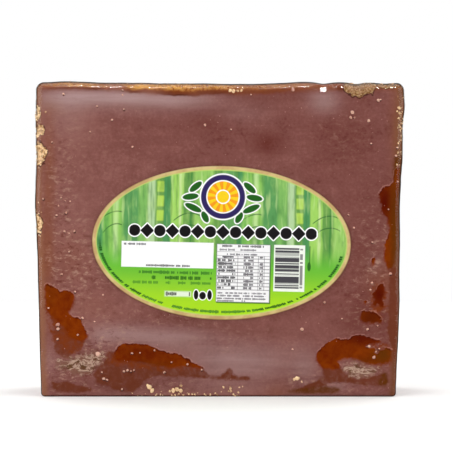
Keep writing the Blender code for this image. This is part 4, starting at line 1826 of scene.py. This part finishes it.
@dataclass
class FilmSkin:
    """The clear film drawn tight round the block, bridging its chips."""

    tools: Tools
    finish: FilmFinish = field(default_factory=FilmFinish)
    cell: float = 1.2 * MM
    rim_cell: float = 0.6 * MM
    rim: float = 4 * MM
    sag: float = 0.45
    ripple: float = 0.15 * MM
    ripple_cell: float = 4 * MM
    ripple_seed: int = 61
    ripple_on_facet: float = 0.15

    def build(self) -> Object:
        """Mesh the film and dress it.

        Returns:
            The piece.
        """
        half, depth, height = MOULD.nominal_half, MOULD.depth / 2, MOULD.height
        spans = ((-half, half), (-depth, depth), (0, height))
        lines = [grid_lines(*span, self.rim_cell, self.cell, (self.rim, self.rim)) for span in spans]
        mesh = box_mesh("clear_film", lines)
        plain = read_points(mesh)
        laid, outward = MOULD.surface(plain)
        near_end = smooth_step(7 * MM, 1 * MM, half - np.abs(plain[:, 0]))
        near_edge = np.maximum(near_end, smooth_step(6 * MM, 1 * MM, height - plain[:, 2]))
        lumpy = rough_noise(laid, self.ripple_cell, self.ripple_seed) * self.ripple * near_edge
        lumpy *= 1 - (1 - self.ripple_on_facet) * GLINT.share(laid)
        drop = MOULD.dented(laid) * self.sag + GLINT.cut(laid, outward)
        drop += lumpy * smooth_step(0.0, 2 * MM, plain[:, 2])
        write_points(mesh, laid - outward * drop[:, None])
        write_values(mesh, bend=smooth_step(0.0, 0.02, 1 - np.abs(outward).max(axis=1)))
        piece = add_piece("clear_film", mesh, self.finish.build(self.tools))
        settle(piece, "clear_film", "rapadura_block")
        return piece


class ScatterGraph(Graph):
    """Geometry nodes with named inputs, which give back a geometry."""

    def __init__(self, name: str, **kinds: str) -> None:
        """Start a tree.

        Args:
            name: its name.
            kinds: the kind of each input besides Geometry.
        """
        super().__init__(bpy.data.node_groups.new(name, "GeometryNodeTree"))
        self.tree.is_modifier = True
        kinds = {"Geometry": "Geometry", **kinds}
        for label, kind in kinds.items():
            self.tree.interface.new_socket(name=label, in_out="INPUT", socket_type=f"NodeSocket{kind}")
        self.tree.interface.new_socket(name="Geometry", in_out="OUTPUT", socket_type="NodeSocketGeometry")
        start = self.tree.nodes.new("NodeGroupInput")
        self.given = {label: Value(self, start.outputs[label]) for label in kinds}

    def stored(self, name: str) -> Value:
        """The number that the carrier stores under a name."""
        return self.add("GeometryNodeInputNamedAttribute", {"Name": name}, "Attribute", data_type="FLOAT")


def scatter_tree(name: str, on_faces: bool) -> NodeTree:
    """Geometry nodes that put small lumps on faces or on single points.

    Args:
        name: the tree's name.
        on_faces: spread points over faces by the stored density, not one on each point.

    Returns:
        The tree, with named inputs.
    """
    numbers = dict.fromkeys(("Density", "Smallest", "Largest", "Flatness"), "Float")
    graph = ScatterGraph(name, Seed="Int", Material="Material", **numbers)
    carrier, seed = {"Mesh": graph.given["Geometry"]}, {"Seed": graph.given["Seed"]}
    if on_faces:
        spread = {**carrier, **seed, "Density": graph.stored("density") * graph.given["Density"]}
        kind = "GeometryNodeDistributePointsOnFaces"
        points = graph.add(kind, spread, "Points", distribute_method="RANDOM")
    else:
        points = graph.add("GeometryNodeMeshToPoints", carrier, "Points")
    ball = graph.add("GeometryNodeMeshUVSphere", {"Segments": 7, "Rings": 5, "Radius": 1.0})
    warp = graph.add("ShaderNodeTexNoise", {"Scale": 1.1}, "Color")
    warp = graph.add("ShaderNodeVectorMath", (warp, (0.5, 0.5, 0.5)), operation="SUBTRACT")
    warp = graph.add("ShaderNodeVectorMath", {0: warp, "Scale": 0.9}, operation="SCALE")
    lump = graph.add("GeometryNodeSetPosition", {"Geometry": ball, "Offset": warp})
    full_turn = {"Max": (math.tau, math.tau, math.tau), **seed}
    turn = graph.add("FunctionNodeRandomValue", full_turn, data_type="FLOAT_VECTOR")
    reach = {2: graph.given["Smallest"], 3: graph.given["Largest"], **seed}
    size = graph.add("FunctionNodeRandomValue", reach, 1, data_type="FLOAT") * graph.stored("size")
    sizes = graph.add("ShaderNodeCombineXYZ", (size, size, size * graph.given["Flatness"]))
    placing = {"Points": points, "Instance": lump, "Rotation": turn, "Scale": sizes}
    placed = graph.add("GeometryNodeInstanceOnPoints", placing)
    # the tone is random, times the light share that the carrier stores: painted shade where that share is low
    tone = graph.add("FunctionNodeRandomValue", (), 1, data_type="FLOAT") * graph.stored("lit")
    toned = {"Geometry": placed, "Name": "tone", "Value": tone}
    stored = graph.add("GeometryNodeStoreNamedAttribute", toned, data_type="FLOAT", domain="INSTANCE")
    real = graph.add("GeometryNodeRealizeInstances", {"Geometry": stored})
    coloured = graph.add("GeometryNodeSetMaterial", {"Geometry": real, "Material": graph.given["Material"]})
    graph.fill(graph.tree.nodes.new("NodeGroupOutput"), {"Geometry": coloured})
    return graph.tree


@dataclass
class Scatter:
    """Small lumps of sugar, or dark blobs of painted shadow, from geometry nodes: on the faces of a carrier,
    or on single points.
    """

    name: str
    finish: GrainFinish
    tools: Tools
    density: float = 0.0
    smallest: float = 0.85
    largest: float = 1.15
    flatness: float = 0.75
    seed: int = 1

    def build(self, carrier: Mesh) -> Object:
        """Cover the carrier with lumps and turn them into plain mesh.

        Args:
            carrier: points or faces that store size, and density for faces.

        Returns:
            The piece.
        """
        material = self.finish.build(self.tools)
        piece = add_piece(self.name, carrier, material, smooth=False)
        modifier = piece.modifiers.new("scatter", "NODES")
        modifier.node_group = scatter_tree(f"{self.name}_nodes", len(carrier.polygons) > 0)
        wanted = {"Density": self.density, "Seed": self.seed, "Flatness": self.flatness}
        wanted |= {"Smallest": self.smallest, "Largest": self.largest, "Material": material}
        for item in modifier.node_group.interface.items_tree:
            if item.in_out == "INPUT" and item.name in wanted:
                modifier[item.identifier] = wanted[item.name]
        bake_modifiers(piece)
        piece.data.shade_smooth()
        settle(piece, "raw_sugar")
        return piece


@dataclass
class Crumbs:
    """Every loose crumb and grain of the block, and the painted shadows below its specks."""

    tools: Tools
    finish: GrainFinish = field(default_factory=GrainFinish)
    pinkish: GrainFinish = GrainFinish("pinkish_grains", srgb(230, 184, 162), srgb(184, 128, 108))
    dusty: GrainFinish = GrainFinish("dusty_grains", srgb(196, 146, 132), srgb(146, 96, 86))
    shadowed: GrainFinish = GrainFinish("dark_pits", srgb(88, 44, 38), srgb(62, 26, 20))
    chip_density: float = 2.2e6
    largest_speck_shadow: float = 0.36
    least_density: float = 0.02
    # painted shade: grains on the front store this light share, which darkens their tone
    light_on_front: float = 0.7

    def chip_carrier(self, block: Object) -> Mesh:
        """The block's faces that carry crumbs, with their density.

        Args:
            block: the sugar block, which stores where it is broken or crumbly.

        Returns:
            The faces.
        """
        mesh = block.data.copy()
        points = read_points(mesh)
        numbers = {name: np.empty(len(points)) for name in ("chip", "edge_z", "edge_x", "crumbly")}
        for name, values in numbers.items():
            mesh.attributes[name].data.foreach_get("value", values)
        at_rim = smooth_step(4.5, 1.5, np.minimum(numbers["edge_z"], numbers["edge_x"] + 0.5))
        at_rim = np.maximum(at_rim, smooth_step(4 * MM, 2 * MM, points[:, 2]) * (points[:, 1] < -15 * MM))
        broken = smooth_step(0.02, 0.12, numbers["chip"])
        density = np.maximum(broken, numbers["crumbly"] * at_rim)
        # painted shade: crumbs near the top store less light, which darkens their tone
        above = smooth_step(112 * MM, 120 * MM, points[:, 2])
        write_values(mesh, density=density, size=0.7 + 0.3 * broken, lit=1 - 1.15 * above)
        form = bmesh.new()
        form.from_mesh(mesh)
        bare = [face for face in form.faces if max(density[v.index] for v in face.verts) < self.least_density]
        bmesh.ops.delete(form, geom=bare, context="FACES")
        form.to_mesh(mesh)
        form.free()
        return mesh

    def point_carrier(
        self, name: str, grains: Sequence[Triple], lift: float, down: float, grow: float
    ) -> Mesh:
        """Single points on the front.

        Args:
            name: the mesh's name.
            grains: place across and up and radius of each, in millimetres.
            lift: the height above the wrapped block.
            down: how far to move each point down, in shares of its radius.
            grow: a factor on the radius.

        Returns:
            The points, which store their size in metres.
        """
        x, z, radius = np.array(grains).T * MM
        mesh = bpy.data.meshes.new(name)
        mesh.from_pydata(MOULD.on_face(x, z - radius * down, Face.FRONT, lift).tolist(), [], [])
        write_values(mesh, size=radius * grow, lit=np.full(len(x), self.light_on_front))
        return mesh

    def faint_specks(self, count: int = 190, seed: int = 4) -> list[Triple]:
        """Faint random grains all over the front.

        Args:
            count: how many.
            seed: picks other places.

        Returns:
            Place across and up and radius of each, in millimetres.
        """
        chance = np.random.default_rng(seed)
        across = chance.uniform(-71, 69, count)
        up = chance.uniform(3, 121, count)
        sizes = 0.10 + 0.12 * chance.random(count) ** 3
        return list(zip(across, up, sizes))

    def build(self, block: Object) -> None:
        """Place the crumbs.

        Args:
            block: the sugar block that they lie on.
        """
        sizes = {"density": self.chip_density, "smallest": 0.22 * MM, "largest": 0.62 * MM}
        chips = Scatter("chip_crumbs", self.finish, self.tools, **sizes, flatness=0.8, seed=3)
        chips.build(self.chip_carrier(block))
        # painted shadow: a flat dark blob set a little below each speck, as the shadow under its grain
        small = [(x, z, min(radius, self.largest_speck_shadow)) for x, z, radius in SPECKS]
        for name, finish, flatness, seed, grains, lift, down, grow in (
            ("loose_crumbs", self.finish, 0.7, 5, CRUMBS, -0.35, 0.0, 1.0),
            ("film_grains", self.pinkish, 0.8, 7, SPECKS, -0.14, 0.0, 1.6),
            ("faint_grains", self.dusty, 0.8, 8, self.faint_specks(), -0.18, 0.0, 1.0),
            ("dark_pits", self.shadowed, 0.6, 9, small, -0.24, 0.7, 1.75),
        ):
            scatter = Scatter(name, finish, self.tools, flatness=flatness, seed=seed)
            scatter.build(self.point_carrier(name, grains, lift * MM, down, grow))


@dataclass
class OvalLabel:
    """The printed oval label, stuck on the film."""

    tools: Tools
    finish: LabelFinish = field(default_factory=LabelFinish)
    columns: int = 120
    rows: int = 72
    lift: float = 0.12 * MM
    thickness: float = 0.2 * MM
    waviness: float = 0.05 * MM
    wave_cell: float = 14 * MM
    wave_seed: int = 71

    def build(self) -> Object:
        """Mesh the label over the front and dress it.

        Returns:
            The piece.
        """
        mesh = grid_mesh("oval_label", self.columns, self.rows)
        across, up = read_points(mesh)[:, :2].T
        turn = math.radians(self.finish.turn_degrees)
        u = across * np.sqrt(1 - up**2 / 2) * self.finish.reach[0] * MM
        v = up * np.sqrt(1 - across**2 / 2) * self.finish.reach[1] * MM
        x = u * math.cos(turn) + v * math.sin(turn) + self.finish.middle[0] * MM
        z = v * math.cos(turn) - u * math.sin(turn) + self.finish.middle[1] * MM
        wave = rough_noise(np.stack([x, x * 0, z], axis=1), self.wave_cell, self.wave_seed) * self.waviness
        write_points(mesh, MOULD.on_face(x, z, Face.FRONT, self.lift + wave))
        piece = add_piece("printed_label", mesh, self.finish.build(self.tools))
        thicken(piece, self.thickness)
        settle(piece, "printed_label", "oval_label")
        return piece


@dataclass
class BackSeal:
    """The lap seal across the back, crimped where it was welded."""

    tools: Tools
    finish: FilmFinish = FilmFinish("sealed_film", 0.16, 2.0, 0.2, 0.06)
    columns: int = 520
    rows: int = 24
    length: float = 132 * MM
    width: float = 12 * MM
    middle_z: float = 64 * MM
    lift: float = 0.2 * MM
    thickness: float = 0.1 * MM
    waviness: float = 0.08 * MM
    wave_cell: float = 9 * MM
    wave_seed: int = 81
    crimp: float = 0.1 * MM
    crimp_pitch: float = 1.5 * MM

    def build(self) -> Object:
        """Mesh the seal with its crimps.

        Returns:
            The piece.
        """
        mesh = grid_mesh("back_seal", self.columns, self.rows)
        across, up = read_points(mesh)[:, :2].T
        x = across * self.length / 2
        z = self.middle_z + up * self.width / 2
        welded = smooth_step(0.55, 0.4, np.abs(up))
        ribs = np.sin(math.tau * x / self.crimp_pitch) * self.crimp * welded
        wave = rough_noise(np.stack([x, x * 0, z], axis=1), self.wave_cell, self.wave_seed) * self.waviness
        write_points(mesh, MOULD.on_face(x, z, Face.BACK, self.lift + ribs + wave))
        mesh.flip_normals()
        piece = add_piece("seal_film", mesh, self.finish.build(self.tools))
        thicken(piece, self.thickness)
        settle(piece, "clear_film", "back_seal")
        return piece


@dataclass
class EndFlap:
    """The tapered flap that closes one end of the wrap."""

    side: Side
    tools: Tools
    finish: FilmFinish = FilmFinish("folded_film", 0.14, 3.0, 0.25, 0.05)
    columns: int = 40
    rows: int = 160
    depth: float = 21 * MM
    start_y: float = 16.4 * MM
    low_z: float = 5 * MM
    high_z: float = 121 * MM
    lift: float = 0.25 * MM
    thickness: float = 0.1 * MM
    fold_height: float = 0.14 * MM
    fold_cell: float = 7 * MM
    fold_seed: int = 91

    def build(self) -> Object:
        """Mesh the flap with its creases.

        Returns:
            The piece.
        """
        side = self.side.name.lower()
        mesh = grid_mesh(f"{side}_flap", self.columns, self.rows)
        across, up = read_points(mesh)[:, :2].T
        inward = self.depth * (1 + across) / 2
        middle, half = (self.high_z + self.low_z) / 2, (self.high_z - self.low_z) / 2
        y = self.start_y - inward
        z = middle + (half - inward) * up
        places = np.stack([z * 0.4, y, z], axis=1)
        folds = value_noise(places, self.fold_cell, self.fold_seed + self.side.value)
        write_points(mesh, MOULD.on_end(y, z, self.side, self.lift + np.abs(folds) * self.fold_height))
        if self.side is Side.RIGHT:
            mesh.flip_normals()
        piece = add_piece(f"{side}_flap_film", mesh, self.finish.build(self.tools))
        thicken(piece, self.thickness)
        settle(piece, "clear_film", f"{side}_end_flap")
        return piece


# ---- the studio


@dataclass(frozen=True)
class Lamp:
    """A square lamp aimed at the block; one with its own aim is narrow and only shows in gloss."""

    name: str
    place: Triple
    size: float
    power: float
    aim: Triple | None = None

    def build(self, spread_degrees: float) -> None:
        """Put the lamp in the scene.

        Args:
            spread_degrees: how wide a narrow lamp shines.
        """
        data = bpy.data.lights.new(self.name, "AREA")
        data.shape = "SQUARE"
        data.size = self.size
        data.energy = self.power
        if self.aim:
            data.spread = math.radians(spread_degrees)
        lamp = bpy.data.objects.new(self.name, data)
        lamp.location = self.place
        target = Vector(self.aim or (0, 0, MOULD.height / 2))
        lamp.rotation_euler = (target - Vector(self.place)).to_track_quat("-Z", "Y").to_euler()
        lamp.visible_diffuse = self.aim is None
        bpy.context.scene.collection.objects.link(lamp)


@dataclass
class Studio:
    """A plain pale floor, soft light and the camera at the photograph's view."""

    lens: float = 120.0
    sensor: float = 36.0
    elevation: float = 0.0
    floor_radius: float = 0.75
    room_light: float = 0.02
    narrow_spread: float = 8.0
    lamps: tuple[Lamp, ...] = (
        Lamp("overhead", (0, 0, 1.6), 1.8, 27.0),
        Lamp("left_softbox", (-0.8, -0.6, 0.45), 1.0, 5.9),
        Lamp("right_softbox", (0.8, -0.55, 0.4), 1.0, 4.7),
        Lamp("left_spark", (-0.092, -0.5, 0.62), 0.05, 0.005, (-0.042, -0.02, 0.124)),
        Lamp("right_spark", (0.086, -0.5, 0.62), 0.1, 0.012, (0.041, -0.02, 0.122)),
        Lamp("back_left", (-0.8, 0.8, 0.5), 0.8, 5.2),
        Lamp("back_right", (0.8, 0.8, 0.5), 0.8, 5.2),
    )

    def floor(self) -> None:
        """A round pale floor that isn't part of the object."""
        graph = MaterialGraph("pale_floor")
        tint = graph.place.noise(0.02, 2.0).between(srgb(250, 250, 249), srgb(253, 253, 252))
        form = bmesh.new()
        bmesh.ops.create_circle(form, cap_ends=True, segments=96, radius=self.floor_radius)
        floor = add_piece("floor", saved(form, "floor"), graph.shade(tint, 0.9, None, 0.1))
        floor.visible_glossy = False

    def world(self) -> None:
        """White behind everything, and a dark room for what the film mirrors."""
        world = bpy.data.worlds.new("room")
        world.use_nodes = True
        bpy.context.scene.world = world
        graph = Graph(world.node_tree)
        room = world.node_tree.nodes["Background"]
        graph.fill(room, {"Color": (1, 1, 1), "Strength": self.room_light})
        white = graph.add("ShaderNodeBackground", {"Color": (1, 1, 1), "Strength": 1.0})
        seen = graph.add("ShaderNodeLightPath", (), "Is Camera Ray")
        both = graph.add("ShaderNodeMixShader", (seen, Value(graph, room.outputs[0]), white))
        graph.fill(world.node_tree.nodes["World Output"], {"Surface": both})

    def camera(self) -> None:
        """Look at the block straight on, framed as the photograph frames it."""
        data = bpy.data.cameras.new("camera")
        data.lens = self.lens
        data.sensor_width = self.sensor
        data.dof.use_dof = False
        distance = PHOTO_SIDE_PX / PHOTO_PX_PER_MM * MM * self.lens / self.sensor
        aside = (PHOTO_SIDE_PX / 2 - PHOTO_MIDDLE_PX[0]) / PHOTO_PX_PER_MM * MM
        above = (PHOTO_MIDDLE_PX[1] - PHOTO_SIDE_PX / 2) / PHOTO_PX_PER_MM * MM
        tilt = math.radians(self.elevation)
        target = Vector((aside, -MOULD.depth / 2, MOULD.height / 2 + above))
        camera = bpy.data.objects.new("camera", data)
        camera.location = target + Vector((0, -math.cos(tilt), math.sin(tilt))) * distance
        camera.rotation_euler = (math.pi / 2 - tilt, 0, 0)
        bpy.context.scene.collection.objects.link(camera)
        bpy.context.scene.camera = camera

    def build(self) -> None:
        """Set up the floor, the light and the camera."""
        self.floor()
        self.world()
        for lamp in self.lamps:
            lamp.build(self.narrow_spread)
        self.camera()
        bpy.context.scene.view_settings.view_transform = "Standard"
        LOG.info("studio: camera, floor and lamps")


def main() -> None:
    """Build every piece in order."""
    logging.basicConfig(level=logging.INFO, format="%(name)s: %(message)s")
    tools = Tools()
    block = SugarBlock(tools).build()
    Crumbs(tools).build(block)
    FilmSkin(tools).build()
    OvalLabel(tools).build()
    BackSeal(tools).build()
    for side in Side:
        EndFlap(side, tools).build()
    Studio().build()


if __name__ == "__main__":
    main()
